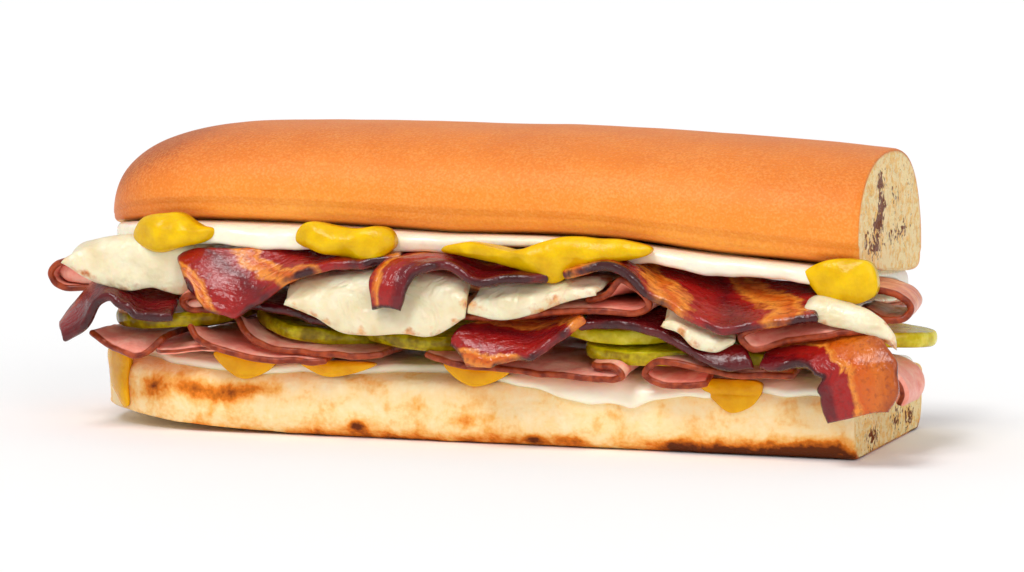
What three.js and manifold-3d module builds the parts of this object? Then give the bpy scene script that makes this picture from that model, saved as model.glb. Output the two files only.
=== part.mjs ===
// Submarine sandwich: half a long soft roll, split flat, with ham, pickles, bacon and melted cheese between
// two spreads of mayonnaise and mustard. Millimetres, +X towards the cut end, -Y towards the eater, +Z up.
// The origin is the middle of the flat underside of the lower bun.
import * as THREE from "three";
import { mergeVertices } from "three/addons/utils/BufferGeometryUtils.js";
import Module from "manifold-3d";

const wasm = await Module();
wasm.setup();

// Driving dimensions of the roll
const CUT_X = 100; // the straight cut end
const TIP_X = -96.8; // the round baked end of the lower bun
const TOP_TIP_X = -94.8; // the upper bun stops a little short of it
const END_LENGTH = 42; // how far the round end reaches along the roll
const END_POWER = 2.4; // fullness of the round end
const BUN_HALF_WIDTH = 35;
const BUN_CENTRE_Y = 1.5;
const CUT_PINCH = 3.5; // the roll is this much narrower on each side at the cut
const PINCH_LENGTH = 26;
const BOTTOM_TOP_Z = 17; // split face of the lower bun
const BOTTOM_WIDEST_Z = 9;
const BASE_LIFT = 4.6; // the round end curls up off the table
const FLAT_FROM_X = -25; // the underside is flat from here to the cut
const UNDERSIDE_Z = [50.5, 51.5, 51.3, 50.2, 49.8, 47, 44.4]; // front edge of the upper bun, tip to cut
const CROWN_Z = [72.6, 73.4, 74, 73.8, 73.2, 71.9, 69.4]; // highest line of the upper bun, tip to cut
const UNDERSIDE_SLANT = 6.5; // the split runs this much lower at the back
const TUCK = 5; // the upper crust turns in below its widest line

// Thickness of the fillings and the clearance between pieces
const HAM = 1.6;
const CHEESE = 2.2;
const BACON = 2.3;
const PICKLE = 3.5;
const MAYO_FILM = 1.4;
const STACK_FLOOR_Z = 19.5; // the fillings lie between the two spreads
const GAP = 0.35;

// Colours and gloss
const FINISH = {
  crust: { color: 0xd9822f, roughness: 0.5 },
  paleCrust: { color: 0xf0d29a, roughness: 0.7 },
  mayo: { color: 0xfbf4dc, roughness: 0.25 },
  mustard: { color: 0xe0ae08, roughness: 0.3 },
  ham: { color: 0xd98a86, roughness: 0.35 },
  pickle: { color: 0x9aa01c, roughness: 0.2 },
  bacon: { color: 0x8e2f22, roughness: 0.3 },
  cheese: { color: 0xf4ecca, roughness: 0.35 },
};

// A smooth value through evenly spaced control values, for t from 0 to 1.
function along(values, t) {
  const points = values.map((value) => new THREE.Vector3(value, 0, 0));
  return new THREE.CatmullRomCurve3(points, false, "catmullrom", 0.5).getPoint(t).x;
}

// A smooth curve through a few [x, y, z] points.
function curve(points) {
  const line = points.map((point) => new THREE.Vector3(...point));
  return new THREE.CatmullRomCurve3(line, false, "catmullrom", 0.5);
}

const clamp01 = (value) => Math.min(1, Math.max(0, value));
const mix = THREE.MathUtils.lerp;
const signedPower = (value, power) => Math.sign(value) * Math.abs(value) ** power;

// An indexed geometry whose faces point out, whichever way its grid was walked.
function closedGeometry(points, triangles) {
  let volume = 0;
  for (let i = 0; i < triangles.length; i += 3) {
    const [a, b, c] = [points[triangles[i]], points[triangles[i + 1]], points[triangles[i + 2]]];
    volume += a.dot(new THREE.Vector3().crossVectors(b, c));
  }
  const facing = volume < 0 ? triangles.slice().reverse() : triangles;
  const geometry = new THREE.BufferGeometry().setFromPoints(points);
  geometry.setIndex(facing);
  return geometry;
}

// Rings of equal length joined in a row, closed by a fan at each end.
function loft(rings) {
  const count = rings[0].length;
  const points = rings.flat();
  const triangles = [];
  for (let i = 0; i + 1 < rings.length; i++) {
    for (let j = 0; j < count; j++) {
      const a = i * count + j;
      const b = i * count + ((j + 1) % count);
      triangles.push(a, a + count, b, b, a + count, b + count);
    }
  }
  const cap = (first, flip) => {
    const centre = points.length;
    const ring = points.slice(first, first + count);
    const middle = ring.reduce((sum, point) => sum.add(point), new THREE.Vector3());
    points.push(middle.divideScalar(count));
    for (let j = 0; j < count; j++) {
      const pair = [first + j, first + ((j + 1) % count)];
      triangles.push(centre, ...(flip ? pair.reverse() : pair));
    }
  };
  cap(0, false);
  cap((rings.length - 1) * count, true);
  return closedGeometry(points, triangles);
}

// A slab of even thickness about the surface centre(u, v), both faces split into triangles alike.
function sheet(centre, columns, rows, thickness) {
  const STEP = 1e-3;
  const faces = [[], []];
  for (let i = 0; i <= columns; i++) {
    for (let j = 0; j <= rows; j++) {
      const [u, v] = [i / columns, j / rows];
      const du = centre(Math.min(1, u + STEP), v).sub(centre(Math.max(0, u - STEP), v));
      const dv = centre(u, Math.min(1, v + STEP)).sub(centre(u, Math.max(0, v - STEP)));
      const half = du.cross(dv).normalize().multiplyScalar(thickness / 2);
      faces[0].push(centre(u, v).add(half));
      faces[1].push(centre(u, v).sub(half));
    }
  }
  const perFace = faces[0].length;
  const at = (side, i, j) => side * perFace + i * (rows + 1) + j;
  const triangles = [];
  const quad = (a, b, c, d) => triangles.push(a, b, c, a, c, d);
  for (let i = 0; i < columns; i++) {
    for (let j = 0; j < rows; j++) {
      quad(at(0, i, j), at(0, i + 1, j), at(0, i + 1, j + 1), at(0, i, j + 1));
      triangles.push(at(1, i, j), at(1, i + 1, j + 1), at(1, i + 1, j));
      triangles.push(at(1, i, j), at(1, i, j + 1), at(1, i + 1, j + 1));
    }
  }
  const rim = [];
  for (let i = 0; i < columns; i++) rim.push([i, 0]);
  for (let j = 0; j < rows; j++) rim.push([columns, j]);
  for (let i = columns; i > 0; i--) rim.push([i, rows]);
  for (let j = rows; j > 0; j--) rim.push([0, j]);
  rim.forEach(([i, j], n) => {
    const [k, l] = rim[(n + 1) % rim.length];
    quad(at(1, i, j), at(1, k, l), at(0, k, l), at(0, i, j));
  });
  return closedGeometry(faces.flat(), triangles);
}

// The roll
// How full the roll is at x: 0 at the round tip, 1 along the body.
function fullness(x, tip = TIP_X) {
  const reach = clamp01((tip + END_LENGTH - x) / END_LENGTH);
  return (1 - reach ** END_POWER) ** (1 / END_POWER);
}

// The upper bun is squeezed in a little where it was cut.
function halfWidth(x) {
  const pinch = CUT_PINCH * clamp01((x - CUT_X + PINCH_LENGTH) / PINCH_LENGTH) ** 2;
  return BUN_HALF_WIDTH * fullness(x, TOP_TIP_X) - pinch;
}

// Points round a bun: evenly along the body, closer together round the end.
function stations(body, end, tip) {
  const xs = [];
  for (let i = 1; i <= end; i++) xs.push(tip + END_LENGTH * (1 - Math.cos((i / end) * (Math.PI / 2))));
  const start = tip + END_LENGTH;
  for (let i = 1; i <= body; i++) xs.push(mix(start, CUT_X, i / body));
  return xs;
}

// A point on the lower bun's outline: a full flat-topped loaf, flattened where it stands.
function bottomBunPoint(x, angle) {
  const full = fullness(x);
  const side = signedPower(Math.cos(angle), 0.5);
  const rise = Math.sin(angle);
  const lift = BASE_LIFT * clamp01((FLAT_FROM_X - x) / (FLAT_FROM_X - TIP_X)) ** 1.5;
  const up = (BOTTOM_TOP_Z - BOTTOM_WIDEST_Z) * Math.max(rise, 0) ** 0.42;
  const down = BOTTOM_WIDEST_Z * 1.3 * Math.max(-rise, 0) ** 0.6;
  const z = Math.max(lift, BOTTOM_WIDEST_Z + up - down);
  return new THREE.Vector3(x, BUN_CENTRE_Y * full + (BUN_HALF_WIDTH * full - 1) * side, z);
}

const alongRoll = (x) => clamp01((x - TIP_X) / (CUT_X - TIP_X));
const undersideAt = (x, y) =>
  along(UNDERSIDE_Z, alongRoll(x)) - (UNDERSIDE_SLANT * (y + BUN_HALF_WIDTH)) / (2 * BUN_HALF_WIDTH);

// A point on the upper bun's outline: a dome that tucks in a little above the split.
function topBunPoint(x, angle) {
  const full = fullness(x, TOP_TIP_X);
  const rise = Math.sin(angle);
  const tuckIn = rise < 0 ? 0.97 : 1;
  const y = BUN_CENTRE_Y * full + halfWidth(x) * tuckIn * signedPower(Math.cos(angle), rise < 0 ? 0.4 : 0.84);
  const underside = undersideAt(x, y);
  const widest = underside + TUCK * full;
  const crown = mix(widest, along(CROWN_Z, alongRoll(x)), full);
  const z = rise < 0 ? widest - TUCK * full * (-rise) ** 0.5 : mix(widest, crown, rise ** 0.84);
  return new THREE.Vector3(x, y, z);
}

function bun(outlinePoint, round, tipX) {
  const rings = stations(9, 7, tipX).map((x) =>
    Array.from({ length: round }, (_, j) => outlinePoint(x, ((j + 0.5) / round) * 2 * Math.PI)),
  );
  const tip = rings[0].map((point) => new THREE.Vector3(tipX, BUN_CENTRE_Y, point.z).lerp(point, 0.3));
  return loft([tip, ...rings]);
}

// Mayonnaise
// The lower spread follows the split face and runs over the front and back edges by drip angles, in degrees.
const LOWER_DRIP_FRONT = [150, 163, 158, 158, 166, 176, 178, 168, 160];
const LOWER_DRIP_BACK = [28, 20, 26, 16, 24, 18, 10, 20, 24];
const LOWER_MAYO_X = [-82, 98];

function lowerMayo() {
  const centre = (u, v) => {
    const x = mix(...LOWER_MAYO_X, u);
    const across = 0.5 - 0.5 * Math.cos(v * Math.PI);
    const degrees = mix(along(LOWER_DRIP_FRONT, u), along(LOWER_DRIP_BACK, u), across);
    const angle = THREE.MathUtils.degToRad(degrees);
    const point = bottomBunPoint(x, angle);
    const away = new THREE.Vector3(0, Math.cos(angle) ** 3, Math.max(0.5, Math.sin(angle))).normalize();
    return point.addScaledVector(away, GAP + MAYO_FILM / 2 + 0.5);
  };
  return sheet(centre, 14, 8, MAYO_FILM);
}

// The upper spread is a thick slab under the upper bun, with a bead that swells out along both edges.
const UPPER_MAYO_X = [-90, 97];
const UPPER_MAYO_BEAD = [4, 6, 5.6, 5, 4.6, 5, 5.2, 5.2];
const UPPER_MAYO_INNER = 2;
const UPPER_MAYO_BULGE = 1.6;

function upperMayoDepth(x, share) {
  const u = clamp01((x - UPPER_MAYO_X[0]) / (UPPER_MAYO_X[1] - UPPER_MAYO_X[0]));
  return mix(UPPER_MAYO_INNER, along(UPPER_MAYO_BEAD, u), clamp01(Math.abs(share)) ** 6);
}

function upperMayo() {
  const rings = [];
  const STATIONS = 14;
  const ROUND = 12;
  for (let i = 0; i <= STATIONS; i++) {
    const u = i / STATIONS;
    const x = mix(...UPPER_MAYO_X, u);
    const ends = Math.sin(clamp01(Math.min(u, 1 - u) * 12) * (Math.PI / 2));
    const reach = Math.max(4, halfWidth(x) + UPPER_MAYO_BULGE * ends - 0.6);
    rings.push(
      Array.from({ length: ROUND }, (_, j) => {
        const angle = ((j + 0.5) / ROUND) * 2 * Math.PI;
        const share = signedPower(Math.cos(angle), 0.5);
        const y = BUN_CENTRE_Y + reach * share;
        const ceiling = undersideAt(x, y) - GAP - 0.05;
        const depth = upperMayoDepth(x, share);
        return new THREE.Vector3(x, y, ceiling - depth * (0.5 - 0.5 * signedPower(Math.sin(angle), 0.6)));
      }),
    );
  }
  return loft(rings);
}

// Height inside the stack: share 0 lies on the lower spread, 1 under the upper one.
function stackZ(share, x, y) {
  const inside = Math.min(CUT_X, Math.max(TIP_X + 12, x));
  const ceiling = undersideAt(inside, y) - upperMayoDepth(inside, 0) - 1.2;
  return mix(STACK_FLOOR_Z, ceiling, share);
}

// Mustard
// A dollop that clings to a front edge: an egg outline round a middle, bulging towards the eater.
function dollop({ middle, width, height, bulge, skew, back }) {
  const SPOKES = 12;
  const RINGS = 2;
  const points = [];
  const triangles = [];
  const edge = (spoke, share) => {
    const angle = (spoke / SPOKES) * 2 * Math.PI;
    const lumpy = 1 + 0.1 * Math.sin(3 * angle + skew * 5) + 0.06 * Math.sin(5 * angle + skew * 9);
    const x = Math.cos(angle) * (width / 2) * lumpy * share;
    const z = Math.sin(angle) * (height / 2) * lumpy * share + skew * x;
    return [middle[0] + x, middle[2] + z];
  };
  for (const side of [-1, 1]) {
    for (let ring = 1; ring <= RINGS; ring++) {
      const share = ring / RINGS;
      for (let spoke = 0; spoke < SPOKES; spoke++) {
        const [x, z] = edge(spoke, share);
        const swell = side < 0 ? -bulge * Math.sqrt(1 - 0.9 * share ** 2) : back;
        points.push(new THREE.Vector3(x, middle[1] + swell, z));
      }
    }
  }
  const at = (side, ring, spoke) => (side * RINGS + ring) * SPOKES + (spoke % SPOKES);
  const [frontPole, backPole] = [points.length, points.length + 1];
  points.push(new THREE.Vector3(middle[0], middle[1] - bulge, middle[2]));
  points.push(new THREE.Vector3(middle[0], middle[1] + back, middle[2]));
  for (let spoke = 0; spoke < SPOKES; spoke++) {
    triangles.push(frontPole, at(0, 0, spoke), at(0, 0, spoke + 1));
    triangles.push(backPole, at(1, 0, spoke + 1), at(1, 0, spoke));
    for (let ring = 0; ring + 1 < RINGS; ring++) {
      const [a, b] = [at(0, ring, spoke), at(0, ring, spoke + 1)];
      triangles.push(a, a + SPOKES, b, b, a + SPOKES, b + SPOKES);
      const [c, d] = [at(1, ring, spoke), at(1, ring, spoke + 1)];
      triangles.push(c, d, c + SPOKES, d, d + SPOKES, c + SPOKES);
    }
    const [front, next] = [at(0, RINGS - 1, spoke), at(0, RINGS - 1, spoke + 1)];
    const [rear, rearNext] = [at(1, RINGS - 1, spoke), at(1, RINGS - 1, spoke + 1)];
    triangles.push(front, rear, next, next, rear, rearNext);
  }
  return closedGeometry(points, triangles);
}

const UPPER_MUSTARD = [
  { middle: [-68, -36, 48.4], width: 18, height: 9.5, bulge: 4, skew: -0.05, back: 3 },
  { middle: [-22, -37.5, 47.4], width: 24, height: 8.5, bulge: 3.5, skew: -0.12, back: 3 },
  { middle: [28, -37.5, 45.6], width: 50, height: 7.5, bulge: 3, skew: 0.02, back: 3 },
  { middle: [98, -33.5, 41.2], width: 15, height: 8, bulge: 3.6, skew: 0.02, back: 3 },
];
const LOWER_MUSTARD = [
  { middle: [-87, -22, 12.5], width: 8, height: 13, bulge: 1.2, skew: 0.1, back: 2.5 },
  { middle: [-50, -35.6, 16.6], width: 13, height: 6, bulge: 1.2, skew: -0.06, back: 0.6 },
  { middle: [-26, -35.6, 16.4], width: 16, height: 4, bulge: 1.2, skew: 0.05, back: 0.6 },
  { middle: [9, -35.6, 16], width: 14, height: 5, bulge: 1.2, skew: -0.05, back: 0.6 },
  { middle: [71, -35.6, 13.6], width: 13, height: 7, bulge: 1.2, skew: -0.05, back: 0.6 },
];

// Ham
// A slice ruffled along its front profile of [x, z] points. Inside, its leaves are pressed flat at a share of
// the stack, unless it hangs loose, and lean shifts it sideways with depth.
const LEAF_SPREAD = 1.15;

function hamSlice({ front, share, y, sway, folded = true, loose = false, lean = 0 }) {
  const line = curve(front.map(([x, z]) => [x, 0, z]));
  const heights = front.map(([, z]) => z);
  const middle = (Math.min(...heights) + Math.max(...heights)) / 2;
  const spread = Math.max(...heights) - middle;
  const centre = (u, v) => {
    const point = line.getPoint(u);
    const depth = v < 0.25 ? v * 0.4 : mix(0.1, 1, (v - 0.25) / 0.75);
    const open = loose ? 1 : (1 - depth) ** 9 + 0.12 * depth ** 9;
    const wander = Math.sin(u * 9 + sway) * 1.2 * (1 - 2 * depth);
    const [x, deep] = [point.x + lean * depth, mix(...y, depth) + wander];
    const leaf = folded ? Math.max(-1, Math.min(1, (1.6 * (point.z - middle)) / spread)) * LEAF_SPREAD : 0;
    const pressed = stackZ(along(share, u), x, deep) + leaf;
    return new THREE.Vector3(x, deep, mix(pressed, point.z, open));
  };
  return sheet(centre, Math.round(1.4 * front.length), 4, HAM);
}

const LOWER_HAM = [
  {
    front: [[-89, 24], [-83, 20.4], [-78, 18.9], [-73.5, 19], [-70, 23]],
    share: [0.15, 0.15],
    y: [-39.5, 32],
    sway: 0,
    folded: false,
  },
  {
    front: [[-74, 19.6], [-68, 19.8], [-62, 20.4], [-56, 20.6]],
    share: [0.06, 0.06],
    y: [-36, 36],
    sway: 2,
    folded: false,
  },
  {
    front: [[-63, 26.5], [-59, 22.8], [-53, 20.8], [-44, 19.2], [-35, 18.6], [-27, 18.8]],
    share: [0.15, 0.12, 0.05, 0.05],
    y: [-40.5, 38],
    sway: 1,
    folded: false,
  },
  {
    front: [[-51, 29], [-46, 24.2], [-40, 21.4], [-32, 20.6], [-22, 20.4], [-13, 21]],
    share: [0.24, 0.14, 0.13, 0.06],
    y: [-39, 37],
    sway: 3,
    folded: false,
  },
  {
    front: [[-3, 21], [8, 19.2], [20, 18.4], [34, 17.4], [42, 17], [46.5, 18], [45, 20], [38, 20.2]],
    share: [0.075, 0.075],
    y: [-38.5, 38],
    sway: 4,
  },
  {
    front: [
      [67, 17], [62, 16.3], [56, 16.4], [52, 18.8], [55, 21.8], [61, 22], [69, 20.4], [78, 19.4], [87, 19.6],
    ],
    share: [0.1, 0.09],
    y: [-39.8, 37],
    sway: 5,
  },
];
const UPPER_HAM = [
  {
    front: [
      [-72, 39.5], [-84, 40.6], [-96, 40.6], [-102.5, 39.4],
      [-105, 36], [-102, 32.8], [-96, 33], [-88, 34], [-76, 33.5],
    ],
    share: [0.62, 0.62],
    y: [-24, 24],
    sway: 0.5,
  },
  {
    front: [[-52, 33.2], [-58, 33.4], [-63, 33], [-65, 31.2], [-62.5, 29.4], [-57, 29.8], [-52, 30.4]],
    share: [0.54, 0.54],
    y: [-37, 37],
    sway: 2.5,
  },
  {
    front: [
      [4, 30.4], [18, 30.8], [30, 32.4], [42, 33.2], [49, 33],
      [53.5, 35], [51.5, 38.8], [47, 41], [43, 37.2], [37, 35],
    ],
    share: [0.61, 0.66],
    y: [-40.5, 37],
    sway: 4.5,
  },
  {
    front: [
      [84.5, 31.6], [82, 31.4], [79, 30.4], [75.8, 28.4],
      [78.5, 25.6], [84, 26.8], [89, 28.4], [97, 29.6], [106, 30],
    ],
    share: [0.61, 0.61],
    y: [-41, 36],
    sway: 1.5,
    lean: -9,
  },
];
const END_LOOP = {
  front: [
    [90, 38], [97, 38.8], [104, 39], [109.5, 37.6],
    [111.6, 35], [109.8, 32.6], [106, 32.3], [103, 33.2], [100, 34],
  ],
  share: [0.88, 0.88],
  y: [-27, -4],
  sway: 3.5,
  loose: true,
  lean: -3,
};

// A slice folded over the cut end of the roll, hanging down past the crumb.
const END_HAM_LINE = [[90, 20.8], [98, 20.8], [104, 20.4], [108, 17.6], [109.4, 14], [108, 10.8]];
const END_HAM_Y = [-24, 4];

function endHam() {
  const line = curve(END_HAM_LINE.map(([x, z]) => [x, 0, z]));
  const centre = (u, v) => {
    const point = line.getPoint(u);
    const taper = 1 - 0.35 * u ** 3;
    return new THREE.Vector3(point.x, mix(...END_HAM_Y, 0.5 + (v - 0.5) * taper), point.z);
  };
  return sheet(centre, 8, 2, HAM * 1.6);
}

// Cheese
// A slice laid across the filling. Its front crest follows set heights, and its front and back edges have
// melted and hang below the crest by drops set along its length. The end at +X tucks in with depth.
function cheeseSlice({ x, share, crest, y, front, back, tuck = 0 }) {
  const centre = (u, v) => {
    const top = along(crest, u);
    const [drop, rear] = [along(front, u), along(back, u)];
    const at = mix(...x, u);
    const inner = (depth) => stackZ(share, at, depth);
    const outline = curve([
      [0, y[0], top - drop],
      [0, y[0] + 0.4, top - drop * 0.55],
      [0, y[0] + 2.2, top - 1],
      [0, y[0] + 10, mix(top, inner(y[0] + 10), 0.5)],
      [0, 0, inner(0)],
      [0, y[1] - 8, inner(y[1] - 8)],
      [0, y[1] - 2, inner(y[1]) - 1.6],
      [0, y[1], inner(y[1]) - rear],
    ]);
    const point = outline.getPoint(v);
    return point.setX(at - tuck * u * clamp01(2.5 * v) + 0.8 * Math.sin(v * 7 + x[0]));
  };
  return sheet(centre, 7, 8, CHEESE);
}

const CHEESE_SLICES = [
  {
    x: [-95, -65],
    share: 0.92,
    crest: [42.4, 45, 46, 45.4, 43.4],
    y: [-39, 31],
    front: [2, 8, 11, 12, 11.6, 9.4, 6],
    back: [2, 6, 5, 7, 3],
  },
  {
    x: [-37, 9],
    share: 0.77,
    crest: [34.4, 36.2, 38.2, 39.4, 39.4, 38.8, 37.2],
    y: [-41.6, 38],
    front: [2, 6, 11.6, 13.2, 12.6, 12, 6],
    back: [3, 6, 7, 5, 3],
  },
  {
    x: [10.5, 42],
    share: 0.81,
    crest: [36.2, 36.8, 37.4, 38.8, 39.8],
    y: [-40.6, 38],
    front: [4, 6.2, 5.4, 3.4, 2.4],
    back: [3, 6, 7, 6, 3],
  },
  {
    x: [57, 73.5],
    share: 0.79,
    crest: [33, 32.2, 30.6, 29.2, 28.8],
    y: [-42.6, 37],
    front: [2, 3, 4.6, 4.4, 2],
    back: [3, 5, 3, 5, 3],
  },
  {
    x: [93, 112],
    share: 0.77,
    crest: [34.8, 35.6, 35.4, 34.4, 33],
    y: [-38.6, 34],
    front: [3.4, 4.6, 5, 4.8, 4],
    back: [3, 6, 4, 3],
    tuck: 15,
  },
];

// Bacon
// A rasher stretched between two edge lines of [x, y, z] points, swelling a little across its width.
function rasher({ near, far }) {
  const [nearLine, farLine] = [curve(near), curve(far)];
  const centre = (u, v) => {
    const [a, b] = [nearLine.getPoint(u), farLine.getPoint(u)];
    const across = Math.sin(v * Math.PI);
    return a.lerp(b, v).add(new THREE.Vector3(0, -0.8 * across, 0.6 * across));
  };
  return sheet(centre, Math.round(1.5 * near.length), 2, BACON);
}

const UPPER_BACON = [
  {
    near: [
      [-61, -42, 36], [-56, -43, 31], [-50, -43, 29.4], [-44, -43, 31.6],
      [-35, -42.5, 38], [-26, -41, 41.6], [-16, -40, 42.8], [-8, -39, 44],
    ],
    far: [
      [-68, -24, 41.5], [-59, -24, 44], [-50, -23, 43.6], [-42, -21, 44],
      [-33, -19, 43], [-25, -18, 42.6], [-17, -18, 43.4], [-11, -18, 43],
    ],
  },
  {
    near: [
      [29, -40, 40.4], [20, -42, 40.2], [12.5, -42.5, 39.6], [7, -43, 41.8],
      [2, -43.5, 42.8], [-2, -44.5, 41], [-4, -45.4, 36.5], [-5, -45.4, 32.6],
    ],
    far: [
      [25, -19, 41], [15, -19, 42], [8, -20, 41.6], [3, -22, 43],
      [-4, -27, 43.8], [-11, -37, 43.2], [-13.5, -44, 38.5], [-12.5, -44.4, 32.2],
    ],
  },
  {
    near: [
      [33, -41, 41.4], [39, -42, 43.2], [45, -42.5, 43.8], [50, -43, 41.4], [54.5, -43.5, 37],
      [61, -44, 34.6], [67, -44, 31.4], [74, -44, 30.2], [83, -43.5, 32], [94, -42, 33.4],
    ],
    far: [
      [27, -20, 40.6], [33, -20, 42.6], [39, -20, 43.4], [45, -20, 43.2], [51, -20, 43.2],
      [57, -20, 42.4], [63, -20, 41.2], [71, -20, 40], [80, -20, 39], [90, -21, 38.4],
    ],
  },
];
const LOWER_BACON = [
  {
    near: [
      [-94, -40, 21.6], [-87.5, -42, 25], [-84.5, -42.5, 30.4], [-81, -42.5, 32.4],
      [-77, -42.5, 30], [-72, -42, 27.8], [-65, -41.5, 28.2],
    ],
    far: [
      [-98, -34, 24.4], [-95, -29, 30.6], [-90.5, -27, 35.6], [-86, -26, 36.4],
      [-82, -26, 35], [-77, -25, 33], [-69, -25, 32.4],
    ],
  },
  {
    near: [[-50, -37, 31], [-43, -37.5, 31], [-34, -37.5, 29.4], [-26, -37.5, 27.8], [-17, -37, 28]],
    far: [[-53, -18, 32], [-45, -18, 32.4], [-37, -18, 31.8], [-28, -18, 30.8], [-19, -18, 30.4]],
  },
  {
    near: [
      [10, -42.5, 19.8], [15, -43.5, 19.6], [20, -44, 20.8],
      [26.5, -43.5, 22.6], [33, -42, 27.2], [38, -40, 31.6],
    ],
    far: [
      [5.5, -41.5, 24], [6.5, -39.5, 27.6], [11, -34, 29],
      [18, -28, 29.4], [24, -22, 29.6], [28, -18, 29.8],
    ],
  },
  {
    near: [
      [36, -39, 29.2], [45, -40, 30], [54, -40.5, 29.2], [60, -41.5, 26.4],
      [67, -42, 22.8], [73, -42, 20.8], [79, -41, 21.4],
    ],
    far: [
      [37, -20, 32.4], [43, -21, 32.6], [50, -23, 33], [57, -28, 31.6],
      [63, -34, 29.2], [69, -37, 26.8], [76, -37, 26],
    ],
  },
  {
    near: [
      [80, -40.5, 22], [86, -42, 22.2], [92, -43.5, 22.2],
      [95.2, -44.6, 19.5], [95.6, -44.6, 15], [97.5, -44, 10.2],
    ],
    far: [
      [80, -25, 27.4], [88, -28, 28.6], [98, -33, 29.4], [107, -39, 29],
      [112.6, -43, 25], [113.5, -44, 18.4], [111.5, -43.6, 13.4],
    ],
  },
];

// The rashers along the far side, each a gentle wave that leans out over the edge below it.
const BACK_BACON = [
  { x: [-62, 6], y: [20, 41.5], share: 0.93, hang: 4, waves: 1.8, phase: 0.4 },
  { x: [10, 94], y: [20, 41.5], share: 0.93, hang: 4, waves: 2, phase: 2.6 },
  { x: [-48, 46], y: [13, 35], share: 0.47, hang: 1.6, waves: 2.6, phase: 1.2 },
];

function backRasher({ x, y, share, hang, waves, phase }) {
  const POINTS = 8;
  const edge = (reach, drop) =>
    Array.from({ length: POINTS }, (_, i) => {
      const t = i / (POINTS - 1);
      const swing = 0.5 + 0.5 * Math.sin(t * waves * 2 * Math.PI + phase);
      const at = mix(...x, t);
      return [at, reach + drop * 0.2 * swing, stackZ(share, at, reach) - drop * swing];
    });
  return rasher({ near: edge(y[0], 0.6), far: edge(y[1], hang) });
}

// Pickles
// A round slice with a rounded rim, lying tilted in the stack.
function pickleSlice({ centre, radius, tilt, depth = 0.92 }) {
  const rim = PICKLE / 2;
  const profile = [
    [0, -rim],
    [radius - 0.9, -rim],
    [radius, 0],
    [radius - 0.9, rim],
    [0, rim],
  ].map(([r, z]) => new THREE.Vector2(r, z));
  const slice = new THREE.LatheGeometry(profile, 15);
  slice.rotateX(Math.PI / 2);
  slice.scale(1, depth, 1);
  slice.rotateX(tilt[0]);
  slice.rotateY(tilt[1]);
  slice.translate(...centre);
  return slice;
}

const PICKLES = [
  { centre: [-72, -17, 27.8], radius: 18, tilt: [0.08, -0.06] },
  { centre: [-33, -18, 26.2], radius: 19, tilt: [0.08, 0.15] },
  { centre: [-6, -20, 26], radius: 18, tilt: [0.12, 0.07] },
  { centre: [45, -20, 29.2], radius: 18, tilt: [0.14, 0] },
  { centre: [51, -28, 24.2], radius: 16, tilt: [0.22, -0.02], depth: 0.58 },
  { centre: [82, -22, 25], radius: 14, tilt: [0.22, -0.02] },
  { centre: [98, -1, 26.2], radius: 13.5, tilt: [0, 0.06] },
  { centre: [-64, 18, 27.4], radius: 17, tilt: [-0.04, 0] },
  { centre: [-26, 19, 26.4], radius: 18, tilt: [-0.03, 0.02] },
  { centre: [14, 19, 25.8], radius: 18.5, tilt: [-0.03, 0.02] },
  { centre: [56, 20, 25.8], radius: 18.5, tilt: [-0.03, -0.02] },
];

// Fitting: each piece is cut clear of the pieces placed before it.
function solidOf(geometry) {
  const bare = new THREE.BufferGeometry().setAttribute("position", geometry.getAttribute("position"));
  bare.setIndex(geometry.index);
  const merged = mergeVertices(bare, 1e-4);
  const triVerts = new Uint32Array(merged.index.array);
  const vertProperties = new Float32Array(merged.getAttribute("position").array);
  return new wasm.Manifold(new wasm.Mesh({ numProp: 3, vertProperties, triVerts }));
}

// The same geometry with every point moved out along its normal.
function grown(geometry, distance) {
  const bare = new THREE.BufferGeometry().setAttribute("position", geometry.getAttribute("position"));
  bare.setIndex(geometry.index);
  const copy = mergeVertices(bare, 1e-4);
  copy.computeVertexNormals();
  const [at, normal] = [copy.getAttribute("position"), copy.getAttribute("normal")];
  for (let i = 0; i < at.count; i++) {
    at.setXYZ(
      i,
      at.getX(i) + distance * normal.getX(i),
      at.getY(i) + distance * normal.getY(i),
      at.getZ(i) + distance * normal.getZ(i),
    );
  }
  return copy;
}

function geometryOf(solid) {
  const { vertProperties, triVerts, numProp, numVert } = solid.getMesh();
  const points = [];
  for (let i = 0; i < numVert; i++) points.push(new THREE.Vector3().fromArray(vertProperties, i * numProp));
  const geometry = new THREE.BufferGeometry().setFromPoints(points);
  geometry.setIndex(Array.from(triVerts));
  return geometry;
}

const sandwich = new THREE.Group();
const placed = [];

function place(name, finish, geometry) {
  const box = new THREE.Box3().setFromBufferAttribute(geometry.getAttribute("position"));
  const whole = solidOf(geometry);
  let solid = whole;
  for (const other of placed) {
    if (other.box.intersectsBox(box)) solid = solid.subtract(other.room);
  }
  const largest = solid.decompose().sort((a, b) => b.volume() - a.volume())[0];
  placed.push({ box: box.clone().expandByScalar(GAP), room: solidOf(grown(geometry, GAP)).add(whole) });
  const shape = geometryOf(largest);
  shape.computeVertexNormals();
  const material = new THREE.MeshStandardMaterial({ ...FINISH[finish], metalness: 0, flatShading: true });
  const mesh = new THREE.Mesh(shape, material);
  mesh.name = name;
  sandwich.add(mesh);
}

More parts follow.
